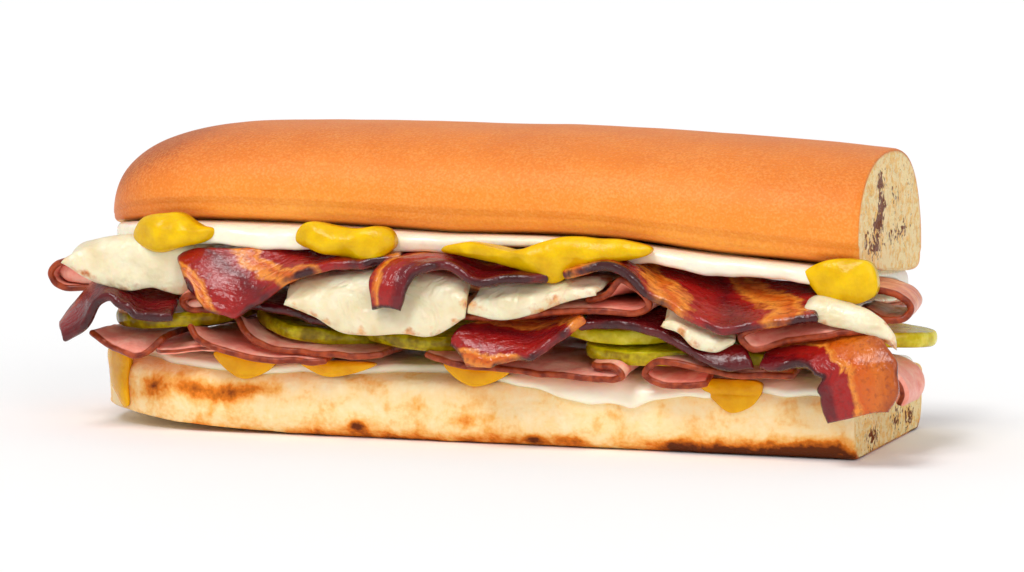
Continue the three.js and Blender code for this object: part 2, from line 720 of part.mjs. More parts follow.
// Assembly, from the pieces that keep their whole shape to the spreads that fill in round them.
place("bottom_bun", "paleCrust", bun(bottomBunPoint, 22, TIP_X));
place("top_bun", "crust", bun(topBunPoint, 24, TOP_TIP_X));
UPPER_BACON.forEach((piece, i) => place(`bacon_upper_${i + 1}`, "bacon", rasher(piece)));
LOWER_BACON.forEach((piece, i) => place(`bacon_lower_${i + 1}`, "bacon", rasher(piece)));
BACK_BACON.forEach((piece, i) => place(`bacon_back_${i + 1}`, "bacon", backRasher(piece)));
CHEESE_SLICES.forEach((piece, i) => place(`cheese_${i + 1}`, "cheese", cheeseSlice(piece)));
UPPER_HAM.forEach((piece, i) => place(`ham_upper_${i + 1}`, "ham", hamSlice(piece)));
place("ham_end_loop", "ham", hamSlice(END_LOOP));
LOWER_HAM.forEach((piece, i) => place(`ham_lower_${i + 1}`, "ham", hamSlice(piece)));
place("ham_end_fold", "ham", endHam());
PICKLES.forEach((piece, i) => place(`pickle_${i + 1}`, "pickle", pickleSlice(piece)));
UPPER_MUSTARD.forEach((piece, i) => place(`mustard_upper_${i + 1}`, "mustard", dollop(piece)));
LOWER_MUSTARD.forEach((piece, i) => place(`mustard_lower_${i + 1}`, "mustard", dollop(piece)));
place("mayo_upper", "mayo", upperMayo());
place("mayo_lower", "mayo", lowerMayo());

export default sandwich;
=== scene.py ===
import math

import bpy
import numpy as np
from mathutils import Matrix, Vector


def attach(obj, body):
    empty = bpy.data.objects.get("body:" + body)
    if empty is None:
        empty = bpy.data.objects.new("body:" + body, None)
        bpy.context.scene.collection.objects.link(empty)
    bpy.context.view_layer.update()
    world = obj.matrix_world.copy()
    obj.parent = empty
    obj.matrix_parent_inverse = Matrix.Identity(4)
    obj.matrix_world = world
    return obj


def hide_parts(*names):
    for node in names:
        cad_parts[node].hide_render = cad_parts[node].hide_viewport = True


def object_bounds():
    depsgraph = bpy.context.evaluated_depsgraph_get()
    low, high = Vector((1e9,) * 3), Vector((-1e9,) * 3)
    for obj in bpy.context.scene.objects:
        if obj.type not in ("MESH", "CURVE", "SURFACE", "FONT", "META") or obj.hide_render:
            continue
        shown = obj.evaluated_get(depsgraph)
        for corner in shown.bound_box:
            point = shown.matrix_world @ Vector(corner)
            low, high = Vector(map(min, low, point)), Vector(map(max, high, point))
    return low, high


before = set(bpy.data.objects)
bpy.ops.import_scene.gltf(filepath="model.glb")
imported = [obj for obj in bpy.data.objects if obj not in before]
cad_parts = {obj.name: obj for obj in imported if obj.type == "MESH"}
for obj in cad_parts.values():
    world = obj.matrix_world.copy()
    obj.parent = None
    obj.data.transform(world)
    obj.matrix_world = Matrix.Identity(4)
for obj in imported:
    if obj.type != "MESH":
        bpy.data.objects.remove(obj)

CAD_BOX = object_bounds()

# Lower bun: the bottom half of a soft white roll, split flat, with a pale floury side and a toasted base.
# It is baked in one piece, round at one end and sliced straight through at the other, where the crumb shows.
MM = 0.001
CUT_X = 100.0
TIP_X = -96.8
END_LENGTH = 42.0
END_POWER = 2.4
BUN_HALF_WIDTH = 35.0
BUN_CENTRE_Y = 1.5
BOTTOM_TOP_Z = 17.0
BOTTOM_WIDEST_Z = 9.0
BASE_LIFT = 4.6
TOP_ROUND = 0.42
BASE_ROUND = 0.6
BASE_CUT_OFF = 1.3
SIDE_ROUND = 0.5
FLAT_FROM_X = -25.0
CUT_ROUND = 0.7


def between(value, low, high):
    """How far value has come from low to high, held to the range 0 to 1 and eased at both ends."""
    part = np.clip((value - low) / (high - low), 0, 1)
    return part * part * (3 - 2 * part)


def spline(controls, t):
    """A smooth line through evenly spaced controls, t from 0 to 1: on each span the cubic whose end slopes
    are half the chord between the neighbouring controls."""
    line = np.asarray(controls, float)
    line = np.concatenate([2 * line[:1] - line[1:2], line, 2 * line[-1:] - line[-2:-1]])
    spans = len(line) - 3
    at = np.clip(t, 0, 1) * spans
    first = np.minimum(at.astype(int), spans - 1)
    part = (at - first).reshape(at.shape + (1,) * (line.ndim - 1))
    a, b, c, d = (line[first + k] for k in range(4))
    return b + 0.5 * part * (c - a + part * (2 * a - 5 * b + 4 * c - d + part * (3 * (b - c) + d - a)))


def lumps(points, size, seed):
    """A smooth random height from -1 to 1: random numbers on a cubic lattice of the given cell size, eased
    between the eight corners of the cell that holds each point."""
    table = np.random.default_rng(seed).uniform(-1, 1, 4096)
    cell = points / size
    low = np.floor(cell).astype(np.int64)
    part = cell - low
    part = part * part * (3 - 2 * part)
    height = 0
    for corner in np.ndindex(2, 2, 2):
        key = (low + corner) * (73856093, 19349663, 83492791)
        key = (key[..., 0] ^ key[..., 1] ^ key[..., 2]) % 4096
        height = height + table[key] * np.prod(np.where(corner, part, 1 - part), axis=-1)
    return height


def unit(vectors):
    """Vectors made one long."""
    return vectors / np.maximum(np.linalg.norm(vectors, axis=-1, keepdims=True), 1e-9)


def ring_faces(rows, around):
    """Quads between the neighbours in a row of closed rings, and a fan of triangles from the first and the
    last ring to two middle points that follow the rings in the list of points."""
    index = np.arange(rows * around).reshape(rows, around)
    after = np.roll(index, -1, axis=1)
    quads = np.stack([index[:-1], after[:-1], after[1:], index[1:]], axis=-1).reshape(-1, 4)
    start = np.stack([np.full(around, rows * around), after[0], index[0]], axis=-1)
    end = np.stack([np.full(around, rows * around + 1), index[-1], after[-1]], axis=-1)
    return quads, np.concatenate([start, end])


def ring_points(rings):
    """The points of a row of closed rings, then the middle of the first ring and of the last."""
    middles = rings[[0, -1]].mean(axis=1)
    return np.concatenate([rings.reshape(-1, rings.shape[-1]), middles])


def add_piece(name, points, quads, fans, values, finish, slot):
    """A smooth closed piece of the sandwich from points in millimetres, its faces turned to point outwards.
    The values, one for each point, are kept as attributes that its finish reads."""
    corners = np.concatenate([quads[:, [0, 1, 2]], quads[:, [0, 2, 3]], fans])
    a, b, c = (points[corners[:, k]] for k in range(3))
    if np.einsum("ij,ij->", a, np.cross(b, c)) < 0:
        quads = quads[:, ::-1]
        fans = fans[:, ::-1]
    mesh = bpy.data.meshes.new(name)
    mesh.from_pydata((points * MM).tolist(), [], quads.tolist() + fans.tolist())
    mesh.polygons.foreach_set("use_smooth", np.ones(len(mesh.polygons), bool))
    for key, value in values.items():
        mesh.attributes.new(key, "FLOAT", "POINT").data.foreach_set("value", np.ravel(value))
    mesh.materials.append(finish)
    piece = bpy.data.objects.new(f"{name}_food", mesh)
    bpy.context.collection.objects.link(piece)
    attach(piece, "root")
    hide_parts(name)


def paint(red, green, blue):
    """A colour as it looks on screen, 0 to 255, turned into the light values that a shader takes."""
    screen = np.array([red, green, blue]) / 255
    light = np.where(screen < 0.04045, screen / 12.92, ((screen + 0.055) / 1.055) ** 2.4)
    return (*light.tolist(), 1.0)


def new_finish(name, **sockets):
    """An empty finish: its node tree and its shader, with the given socket values set."""
    finish = bpy.data.materials.new(name)
    finish.use_nodes = True
    shader = finish.node_tree.nodes["Principled BSDF"]
    for key, value in sockets.items():
        shader.inputs[key.replace("_", " ")].default_value = value
    return finish, finish.node_tree, shader


def node(tree, kind, inputs, **settings):
    """One node with its settings. Each input is a plain value, or the output of another node to link
    from."""
    made = tree.nodes.new(f"ShaderNode{kind}")
    for key, value in settings.items():
        setattr(made, key, value)
    for key, value in inputs.items():
        if isinstance(value, bpy.types.NodeSocket):
            tree.links.new(value, made.inputs[key])
        else:
            made.inputs[key].default_value = value
    return made


def measure(tree, name):
    """The value that a piece keeps under this name at each point."""
    return node(tree, "Attribute", {}, attribute_name=name).outputs["Fac"]


def grain(tree, size, detail=3.0, stretch=0.0):
    """Cloudy noise with grains about this many millimetres across, 0 to 1."""
    where = node(tree, "TexCoord", {}).outputs["Object"]
    inputs = {"Vector": where, "Scale": 1 / (size * MM), "Detail": detail, "Distortion": stretch}
    return node(tree, "TexNoise", inputs).outputs["Fac"]


def sum_of(tree, first, second, share=1.0):
    """first + second * share."""
    return node(tree, "Math", {0: second, 1: share, 2: first}, operation="MULTIPLY_ADD").outputs[0]


def product(tree, first, second):
    """first * second."""
    return node(tree, "Math", {0: first, 1: second}, operation="MULTIPLY").outputs[0]


def stretch_range(tree, value, low, high):
    """value moved from the range low to high onto 0 to 1, eased and held there."""
    inputs = {"Value": value, "From Min": low, "From Max": high}
    return node(tree, "MapRange", inputs, interpolation_type="SMOOTHSTEP").outputs["Result"]


def colour_by(tree, value, stops):
    """The colour found by looking value up along a row of (place, colour) stops."""
    made = node(tree, "ValToRGB", {"Fac": value})
    elements = made.color_ramp.elements
    while len(elements) < len(stops):
        elements.new(1.0)
    for element, (place, colour) in zip(elements, stops):
        element.position = place
        element.color = colour
    return made.outputs["Color"]


def blend(tree, share, under, over):
    """The colour under, covered by the colour over in the given share."""
    return node(tree, "Mix", {0: share, 6: under, 7: over}, data_type="RGBA").outputs[2]


def relief(tree, shader, height, depth):
    """Fine relief on the surface: height from 0 to 1 raises it by depth millimetres."""
    bump = node(tree, "Bump", {"Height": height, "Distance": depth * MM, "Strength": 1.0})
    tree.links.new(bump.outputs["Normal"], shader.inputs["Normal"])


def fullness(x, tip=TIP_X):
    """How full the roll is along its length: 0 at the round tip, then up a rounded curve to 1 along the
    body."""
    reach = np.clip((tip + END_LENGTH - x) / END_LENGTH, 0, 1)
    return (1 - reach ** END_POWER) ** (1 / END_POWER)


def signed_power(value, power):
    """The power of the size of value, with the sign of value."""
    return np.sign(value) * np.abs(value) ** power


def lower_bun_outline(x, angle):
    """A point round the lower bun: a squarish oval about its centre line, flat on top, cut off flat where
    it stands, and lifted off the table towards the round tip."""
    full = fullness(x)
    rise = np.sin(angle)
    lift = BASE_LIFT * np.clip((FLAT_FROM_X - x) / (FLAT_FROM_X - TIP_X), 0, 1) ** 1.5
    up = (BOTTOM_TOP_Z - BOTTOM_WIDEST_Z) * np.maximum(rise, 0) ** TOP_ROUND
    down = BOTTOM_WIDEST_Z * BASE_CUT_OFF * np.maximum(-rise, 0) ** BASE_ROUND
    side = signed_power(np.cos(angle), SIDE_ROUND)
    y = BUN_CENTRE_Y * full + np.maximum(BUN_HALF_WIDTH * full - 1, 0.3) * side
    return np.stack([x, y, np.maximum(lift, BOTTOM_WIDEST_Z + up - down)], axis=-1)


def bun_rings(outline, tip, around=260, end_rows=80, body_rows=170, face_rows=46):
    """A bun as rings round its length: close together round the tip, even along the body, then drawn in
    over a small round edge and across the cut face to its middle. Returns the rings and, for each point,
    how far in from the cut edge it lies, 0 on the crust and 1 in the middle of the cut."""
    turn = np.linspace(0.01, 1, end_rows) * math.pi / 2
    x = np.concatenate([
        tip + END_LENGTH * (1 - np.cos(turn)),
        np.linspace(tip + END_LENGTH, CUT_X - CUT_ROUND, body_rows + 1)[1:],
    ])
    angle = (np.arange(around) + 0.5) / around * 2 * math.pi
    body = outline(*np.broadcast_arrays(x[:, None], angle[None, :]))
    edge = outline(*np.broadcast_arrays(np.full((1, 1), CUT_X), angle[None, :]))[0]
    middle = edge.mean(axis=0)
    bend = np.linspace(0.2, 1, 5) * math.pi / 2
    inward = np.concatenate([0.02 * (1 - np.cos(bend)), np.linspace(0.03, 0.99, face_rows)])
    step = np.concatenate([CUT_ROUND * np.sin(bend), np.full(face_rows, CUT_ROUND)])
    face = edge + (middle - edge) * inward[:, None, None]
    face[..., 0] = CUT_X - CUT_ROUND + step[:, None]
    rings = np.concatenate([body, face])
    core = np.concatenate([np.zeros(len(x)), inward])
    return rings, np.broadcast_to(core[:, None], rings.shape[:2])


def ring_normals(rings):
    """Directions square to a row of closed rings, from the steps along and round them."""
    along = np.gradient(rings, axis=0)
    around = np.roll(rings, -1, axis=1) - np.roll(rings, 1, axis=1)
    return unit(np.cross(around, along))


def crumb_colour(tree, char):
    """Open crumb of a cut roll: cream, with painted shade that darkens the pores of two sizes where they sink
    in, browned where char is high. Returns the colour and the height of the pores."""
    pores = stretch_range(tree, grain(tree, 1.9, 3.0), 0.3, 0.62)
    tiny = stretch_range(tree, grain(tree, 0.7, 2.0), 0.3, 0.7)
    height = sum_of(tree, pores, tiny, 0.5)
    # painted shade: the cream darkens where the pore height is low, down in the pores
    cream = colour_by(tree, height, [
        (0.0, paint(238, 174, 96)), (0.3, paint(250, 198, 116)),
        (0.8, paint(253, 212, 138)), (1.0, paint(255, 226, 168)),
    ])
    burnt = stretch_range(tree, sum_of(tree, char, grain(tree, 1.3, 3.0), 2.2), 1.5, 1.74)
    return blend(tree, burnt, cream, paint(120, 56, 10)), height


def pale_crust():
    """Pale crust: cream flour and soft tan, toasted through orange to dark brown where the toast value is
    high, with open crumb over the cut face."""
    finish, tree, shader = new_finish(
        "pale_crust", Roughness=0.62, Specular_IOR_Level=0.15, Subsurface_Weight=0.15, Subsurface_Scale=0.002,
    )
    cloud = sum_of(tree, measure(tree, "toast"), grain(tree, 6.0, 6.0, 0.5), 0.7)
    cloud = sum_of(tree, cloud, grain(tree, 1.1, 4.0), 0.26)
    crust = colour_by(tree, cloud, [
        (0.34, paint(255, 234, 190)), (0.52, paint(255, 220, 158)), (0.66, paint(248, 184, 96)),
        (0.78, paint(228, 128, 30)), (0.92, paint(164, 80, 14)), (1.0, paint(104, 46, 8)),
    ])
    crumb, pores = crumb_colour(tree, measure(tree, "char"))
    inside = measure(tree, "inside")
    tree.links.new(blend(tree, inside, crust, crumb), shader.inputs["Base Color"])
    rough = sum_of(tree, grain(tree, 1.1, 4.0), product(tree, inside, pores), 1.4)
    relief(tree, shader, rough, 0.35)
    return finish


def spots(x, z, marks):
    """The sum of soft oval marks, each (x, z, half length, half height, strength)."""
    total = 0
    for at_x, at_z, long, high, strength in marks:
        total = total + strength * np.exp(-((x - at_x) / long) ** 2 - ((z - at_z) / high) ** 2)
    return total


TOAST_MARKS = [
    (-70, 11.0, 8, 2.4, 0.36), (-58, 9.6, 9, 2.4, 0.34), (-77, 8.5, 5, 2.4, 0.3), (-48, 11.0, 7, 1.8, 0.26),
    (-22, 3.0, 2.4, 1.4, 0.5), (22.5, 1.8, 2.4, 1.3, 0.45), (31, 2.2, 4, 1.2, 0.25), (76, 2.4, 14, 2.4, 0.26),
    (92, 3.0, 8, 2.6, 0.3), (58, 2.0, 9, 1.4, 0.18), (-5, 9.5, 7, 2.0, 0.16), (5, 6.0, 9, 1.6, 0.14),
]
BOTTOM_CHAR = [
    (-14, 3.5, 7, 3.0, 0.7), (8, 5.0, 6, 4.0, 0.6), (22, 4.0, 5, 3.0, 0.65), (-2, 12.0, 5, 2.0, 0.5),
]

rings, core = bun_rings(lower_bun_outline, TIP_X)
swell = 0.4 * lumps(rings, 17, 1) + 0.16 * lumps(rings, 5, 2)
rings = rings + ring_normals(rings) * (swell * (rings[..., 2] > 0.4) * (core < 0.01))[..., None]
pitted = (core > 0.05) * (0.35 * lumps(rings, 3.2, 3) + 0.2 * lumps(rings, 1.5, 4))
rings[..., 0] += pitted
rings[..., 2] = np.maximum(rings[..., 2], 0)
x, y, z = np.moveaxis(rings, -1, 0)
blotches = 0.2 * between(lumps(rings * (1, 1, 2), 24, 5), 0.1, 0.7) * between(z, 2, 6)
band = 0.34 * between(z, 3.2, 0.2) + 0.1 * between(z, 7, 2) + 0.08 * between(x, 10, 90) * between(z, 5.5, 1.5)
toast = np.where(y < 2, spots(x, z, TOAST_MARKS), blotches) + band * (0.8 + 0.4 * lumps(rings, 15, 6))
inside = np.maximum(between(core, 0.02, 0.05), between(z, 16.4, 16.9))
values = {"toast": toast, "inside": inside, "char": spots(y, z, BOTTOM_CHAR) * (core > 0.03)}
points = ring_points(np.concatenate([rings, np.stack(list(values.values()), axis=-1)], axis=-1))
values = dict(zip(values, points[:, 3:].T))
add_piece("bottom_bun", points[:, :3], *ring_faces(*rings.shape[:2]), values, pale_crust(), "pale_crust")

# Lower spread: a film of mayonnaise over the split face of the lower bun, smooth, thick and ivory.
# It is spread with a knife and sags over the front and back edges in slow, round-lipped drips.
LOWER_MAYO_X = (-84.0, 98.0)
LOWER_DRIP_FRONT = [120, 148, 152, 140, 140, 174, 177, 158, 158]
LOWER_DRIP_BACK = [40, 26, 34, 20, 30, 24, 16, 26, 30]
LOWER_MAYO_FILM = 2.2
EDGE_CROWDING = 0.11


def slab(centre, columns, rows, thickness, taper=None):
    """A slice about the surface centre(u, v), u and v from 0 to 1 and crowded towards the edges. The
    surface is moved half the thickness to each side along its normal, and within the taper, or half the
    thickness, of the rim this falls to nothing along a quarter oval, so that both faces meet in one rounded
    edge. Returns the points, the quads and, for each point, its millimetres along and across the slice and
    in from its rim, and its share of the way across."""
    even = [np.linspace(0, 1, count) for count in (columns, rows)]
    u, v = np.meshgrid(*(s - EDGE_CROWDING * np.sin(2 * math.pi * s) for s in even), indexing="ij")
    middle = centre(u, v)
    normal = unit(np.cross(np.gradient(middle, axis=0), np.gradient(middle, axis=1)))
    along = np.linalg.norm(np.diff(middle, axis=0), axis=-1).cumsum(axis=0)
    along = np.concatenate([np.zeros((1, rows)), along])
    across = np.linalg.norm(np.diff(middle, axis=1), axis=-1).cumsum(axis=1)
    across = np.concatenate([np.zeros((columns, 1)), across], axis=1)
    rim = np.minimum(np.minimum(along, along[-1] - along), np.minimum(across, across[:, -1:] - across))
    half = thickness / 2 * np.sqrt(1 - (1 - np.clip(rim / (taper or thickness / 2), 0, 1)) ** 2)
    front = middle + normal * half[..., None]
    back = middle - normal * half[..., None]
    inner = np.s_[1:-1, 1:-1]
    points = np.concatenate([front.reshape(-1, 3), back[inner].reshape(-1, 3)])
    values = [np.concatenate([value.ravel(), value[inner].ravel()]) for value in (along, across, rim, v)]
    top = np.arange(columns * rows).reshape(columns, rows)
    under = top.copy()
    under[inner] = columns * rows + np.arange((columns - 2) * (rows - 2)).reshape(columns - 2, rows - 2)
    quads = [
        np.stack([grid[:-1, :-1], grid[1:, :-1], grid[1:, 1:], grid[:-1, 1:]], axis=-1).reshape(-1, 4)
        for grid in (top, under)
    ]
    names = ("along", "across", "rim", "share")
    return points, np.concatenate([quads[0], quads[1][:, ::-1]]), dict(zip(names, values))


NO_FANS = np.zeros((0, 3), int)


def lower_mayo(u, v):
    """The film: round the lower bun from the front drip angle to the back one, kept just off its
    surface."""
    x = LOWER_MAYO_X[0] + (LOWER_MAYO_X[1] - LOWER_MAYO_X[0]) * u
    ripple = 5 * lumps(np.stack([x, x * 0, x * 0], axis=-1), 6, 11)
    front = spline(LOWER_DRIP_FRONT, u) + ripple
    back = spline(LOWER_DRIP_BACK, u) - ripple
    angle = np.radians(front + (back - front) * (0.5 - 0.5 * np.cos(v * math.pi)))
    away = unit(np.stack([0 * x, np.cos(angle) ** 3, np.maximum(0.4, np.sin(angle))], axis=-1))
    point = lower_bun_outline(x, angle)
    return point + away * (0.75 + 0.25 * lumps(point, 7, 12))[..., None]


def mayonnaise():
    """Mayonnaise: warm ivory, lit through near its surface, with a wet shine and faint knife marks."""
    finish, tree, shader = new_finish(
        "mayonnaise", Roughness=0.22, Subsurface_Weight=0.35, Subsurface_Scale=0.003, Coat_Weight=0.15,
    )
    cream = colour_by(tree, grain(tree, 9.0, 3.0), [(0.3, paint(253, 238, 210)), (0.7, paint(255, 246, 226))])
    tree.links.new(cream, shader.inputs["Base Color"])
    relief(tree, shader, grain(tree, 3.0, 2.0), 0.25)
    return finish


mayo_finish = mayonnaise()
points, quads, values = slab(lower_mayo, 240, 90, LOWER_MAYO_FILM)
add_piece("mayo_lower", points, quads, NO_FANS, values, mayo_finish, "mayo")

# Mustard under the fillings: small runs of yellow mustard squeezed along the edge of the lower bun.
# Each has flowed down over the crust and set with a flat top and a fat round tip.
LOWER_MUSTARD = {
    "mustard_lower_1": [
        (-93, 17), (-88, 18.4), (-83, 17.4), (-83.6, 11), (-83.4, 5.4), (-85.4, 4.4), (-88, 7), (-91.5, 10),
    ],
    "mustard_lower_2": [(-58, 19.4), (-50, 19.6), (-43, 18), (-44, 15.6), (-49.5, 13.4), (-54, 14.8)],
    "mustard_lower_3": [(-36, 18.4), (-27, 18.6), (-17, 18.2), (-21, 16), (-28, 14.6), (-32.5, 15.8)],
    "mustard_lower_4": [(1, 19), (9, 19.2), (17, 18.2), (14, 15.4), (8.5, 13.8), (4, 15.4)],
    "mustard_lower_5": [(63, 17.4), (70, 17.8), (78, 17.2), (76.6, 12.4), (71.5, 10.2), (67.4, 12.6)],
}
LOWER_MUSTARD_BULGE = 1.5
RUN_LEAVES_CRUST_Z = 14.5


def loop(controls, t):
    """A smooth closed line through the controls, t from 0 to 1 once round."""
    line = np.asarray(controls, float)
    wrapped = np.concatenate([line[-2:], line, line[:3]])
    return spline(wrapped, (2 + t * len(line)) / (len(wrapped) - 1))


def blob_rings(outline, front, back, around=72, rows=15):
    """A dollop: its outline of [x, z] points shrunk towards its middle in rings, first across the front
    from the middle out, then across the back from the rim in. front and back give y from x, z and the share
    of the way out."""
    edge = loop(outline, np.arange(around) / around)
    middle = edge.mean(axis=0)
    share = np.sin(np.linspace(0.04, 1, rows) * math.pi / 2)
    share = np.concatenate([share, share[-2::-1]])
    flat = middle + (edge - middle) * share[:, None, None]
    share = np.broadcast_to(share[:, None], flat.shape[:2])
    x, z = flat[..., 0], flat[..., 1]
    is_front = (np.arange(len(flat)) < rows)[:, None]
    y = np.where(is_front, front(x, z, share), back(x, z, share))
    return np.stack([x, y, z], axis=-1)


def lower_bun_front(x, z):
    """How far forward the lower bun's side stands at x and z."""
    full = fullness(x)
    rise = np.clip((z - BOTTOM_WIDEST_Z) / (BOTTOM_TOP_Z - BOTTOM_WIDEST_Z), 0, 0.98) ** (1 / TOP_ROUND)
    drop = np.clip((BOTTOM_WIDEST_Z - z) / BOTTOM_WIDEST_Z / BASE_CUT_OFF, 0, 0.98) ** (1 / BASE_ROUND)
    side = (1 - np.maximum(rise, drop) ** 2) ** (SIDE_ROUND / 2)
    return BUN_CENTRE_Y * full - np.maximum(BUN_HALF_WIDTH * full - 1, 0.3) * side


def yellow_mustard(name, deep, bright):
    """Mustard: smooth bright yellow clouded with deeper gold, lit through and wet."""
    finish, tree, shader = new_finish(
        name, Roughness=0.26, Subsurface_Weight=0.2, Subsurface_Scale=0.002, Specular_IOR_Level=0.22,
    )
    cloud = sum_of(tree, grain(tree, 5.0, 3.0), grain(tree, 0.7, 2.0), 0.18)
    tree.links.new(colour_by(tree, cloud, [(0.38, deep), (0.72, bright)]), shader.inputs["Base Color"])
    relief(tree, shader, grain(tree, 1.6, 4.0), 0.22)
    return finish


def run_face(x, z):
    """Where a run of mustard lies: on the crust low down, and straight up from it over the mayonnaise
    film."""
    return lower_bun_front(x, np.minimum(z, RUN_LEAVES_CRUST_Z)) - 0.5 - 1.2 * between(z, 12.5, 15.5)


run_finish = yellow_mustard("mustard_run", paint(218, 150, 0), paint(236, 176, 2))
for number, (name, outline) in enumerate(LOWER_MUSTARD.items()):
    rings = blob_rings(
        outline,
        lambda x, z, share: run_face(x, z) - LOWER_MUSTARD_BULGE * np.sqrt(1 - 0.92 * share ** 2),
        lambda x, z, share: lower_bun_front(x, np.minimum(z, RUN_LEAVES_CRUST_Z)) + 0.3,
    )
    rings[..., 1] += 0.2 * lumps(rings, 4, 20 + number)
    add_piece(name, ring_points(rings), *ring_faces(*rings.shape[:2]), {}, run_finish, "mustard")

# Ham in the lower half: thin slices of smoked ham, pink inside with a dark brown smoked edge.
# Each is laid in loose folds that stand out at the front and are pressed flat under the other fillings.
HAM_THICKNESS = 1.6
LEAF_SPREAD = 1.15
HAM_CORNER = 3.0
UNDERSIDE_Z = [50.5, 51.5, 51.3, 50.2, 49.8, 47, 44.4]
UNDERSIDE_SLANT = 6.5
UPPER_MAYO_INNER = 2.0
STACK_FLOOR_Z = 19.5
LOWER_HAM = {
    "ham_lower_1": dict(
        front=[(-89, 24), (-83, 20.4), (-78, 18.9), (-73.5, 19), (-70, 23)],
        share=[0.15, 0.15], y=(-39.5, 32), sway=0, folded=False,
    ),
    "ham_lower_2": dict(
        front=[(-74, 19.6), (-68, 19.8), (-62, 20.4), (-56, 20.6)],
        share=[0.06, 0.06], y=(-36, 36), sway=2, folded=False,
    ),
    "ham_lower_3": dict(
        front=[(-63, 26.5), (-59, 22.8), (-53, 20.8), (-44, 19.2), (-35, 18.6), (-27, 18.8)],
        share=[0.15, 0.12, 0.05, 0.05], y=(-40.5, 38), sway=1, folded=False,
    ),
    "ham_lower_4": dict(
        front=[(-51, 29), (-46, 24.2), (-40, 21.4), (-32, 20.6), (-22, 20.4), (-13, 21)],
        share=[0.24, 0.14, 0.13, 0.06], y=(-39, 37), sway=3, folded=False,
    ),
    "ham_lower_5": dict(
        front=[(-3, 21), (8, 19.2), (20, 18.4), (34, 17.4), (42, 17), (46.5, 18), (45, 20), (38, 20.2)],
        share=[0.075, 0.075], y=(-38.5, 38), sway=4,
    ),
    "ham_lower_6": dict(
        front=[
            (67, 17), (62, 16.3), (56, 16.4), (52, 18.8), (55, 21.8),
            (61, 22), (69, 20.4), (78, 19.4), (87, 19.6),
        ],
        share=[0.1, 0.09], y=(-39.8, 37), sway=5,
    ),
}
END_HAM_LINE = [(90, 20.8), (98, 20.8), (104, 20.2), (107.6, 17.8), (109, 14.8), (107.8, 12)]
END_HAM_Y = (-24, -4)


def underside(x, y):
    """Height of the upper bun's split face: a smooth line along the roll, lower towards the back."""
    along = spline(UNDERSIDE_Z, (x - TIP_X) / (CUT_X - TIP_X))
    return along - UNDERSIDE_SLANT * (y + BUN_HALF_WIDTH) / (2 * BUN_HALF_WIDTH)


def stack_height(share, x, y):
    """Height inside the stack of fillings: share 0 lies on the lower spread and 1 under the upper one."""
    ceiling = underside(np.clip(x, TIP_X + 12, CUT_X), y) - UPPER_MAYO_INNER - 1.2
    return STACK_FLOOR_Z + (ceiling - STACK_FLOOR_Z) * share


def ham_slice(front, share, y, sway, folded=True, loose=False, lean=0.0, leaf_spread=LEAF_SPREAD):
    """A slice ruffled along its front profile of [x, z] points. Behind the front the profile is flattened
    to a share of the stack, with the leaves of a fold kept apart, unless it hangs loose. lean shifts it
    sideways with depth, and its front corners are rounded back."""
    heights = np.array(front)[:, 1]
    middle = (heights.min() + heights.max()) / 2
    spread = heights.max() - middle

    def centre(u, v):
        line = spline(front, u)
        depth = np.where(v < 0.25, v * 0.4, 0.1 + 0.9 * (v - 0.25) / 0.75)
        opened = 1 if loose else (1 - depth) ** 9 + 0.12 * depth ** 9
        wander = np.sin(u * 9 + sway) * 1.2 * (1 - 2 * depth)
        x = line[..., 0] + lean * depth
        corner = HAM_CORNER * np.abs(2 * u - 1) ** 5 * (1 - v)
        deep = y[0] + (y[1] - y[0]) * depth + wander + corner
        leaf = np.clip(1.6 * (line[..., 1] - middle) / spread, -1, 1) * leaf_spread if folded else 0
        pressed = stack_height(spline(share, u), x, deep) + leaf
        point = np.stack([x, deep, pressed + (line[..., 1] - pressed) * opened], axis=-1)
        ruffle = 0.35 * lumps(point, 5, 31) + 0.12 * lumps(point, 2, 32)
        return point + ruffle[..., None] * np.array([0.3, 0.6, 1.0])

    return centre


def end_ham(u, v):
    """A slice folded over the cut end: a profile of [x, z] points carried across the roll, narrower at its
    tip."""
    line = spline(END_HAM_LINE, u)
    y = END_HAM_Y[0] + (END_HAM_Y[1] - END_HAM_Y[0]) * (0.5 + (v - 0.5) * (1 - 0.35 * u ** 3))
    point = np.stack([line[..., 0], y, line[..., 1]], axis=-1)
    return point + (0.5 * lumps(point, 6, 33))[..., None] * np.array([1.0, 0.4, 0.5])


def smoked_ham(name, rim_width, shades):
    """Ham: three shades of pink marbling, browned to a dark red smoked edge within the rim width, moist."""
    finish, tree, shader = new_finish(
        name, Roughness=0.3, Subsurface_Weight=0.2, Subsurface_Scale=0.002, Specular_IOR_Level=0.3,
    )
    cloud = sum_of(tree, grain(tree, 4.5, 4.0, 0.6), grain(tree, 0.9, 3.0), 0.3)
    pink = colour_by(tree, cloud, list(zip((0.36, 0.6, 0.85), shades)))
    edge = sum_of(tree, measure(tree, "rim"), grain(tree, 3.0, 3.0), 0.5 * rim_width)
    smoked = stretch_range(tree, edge, 1.6 * rim_width, 0.9 * rim_width)
    skin = colour_by(tree, grain(tree, 2.0, 3.0), [(0.35, paint(118, 38, 14)), (0.65, paint(172, 74, 36))])
    tree.links.new(blend(tree, smoked, pink, skin), shader.inputs["Base Color"])
    relief(tree, shader, grain(tree, 1.2, 4.0), 0.18)
    return finish


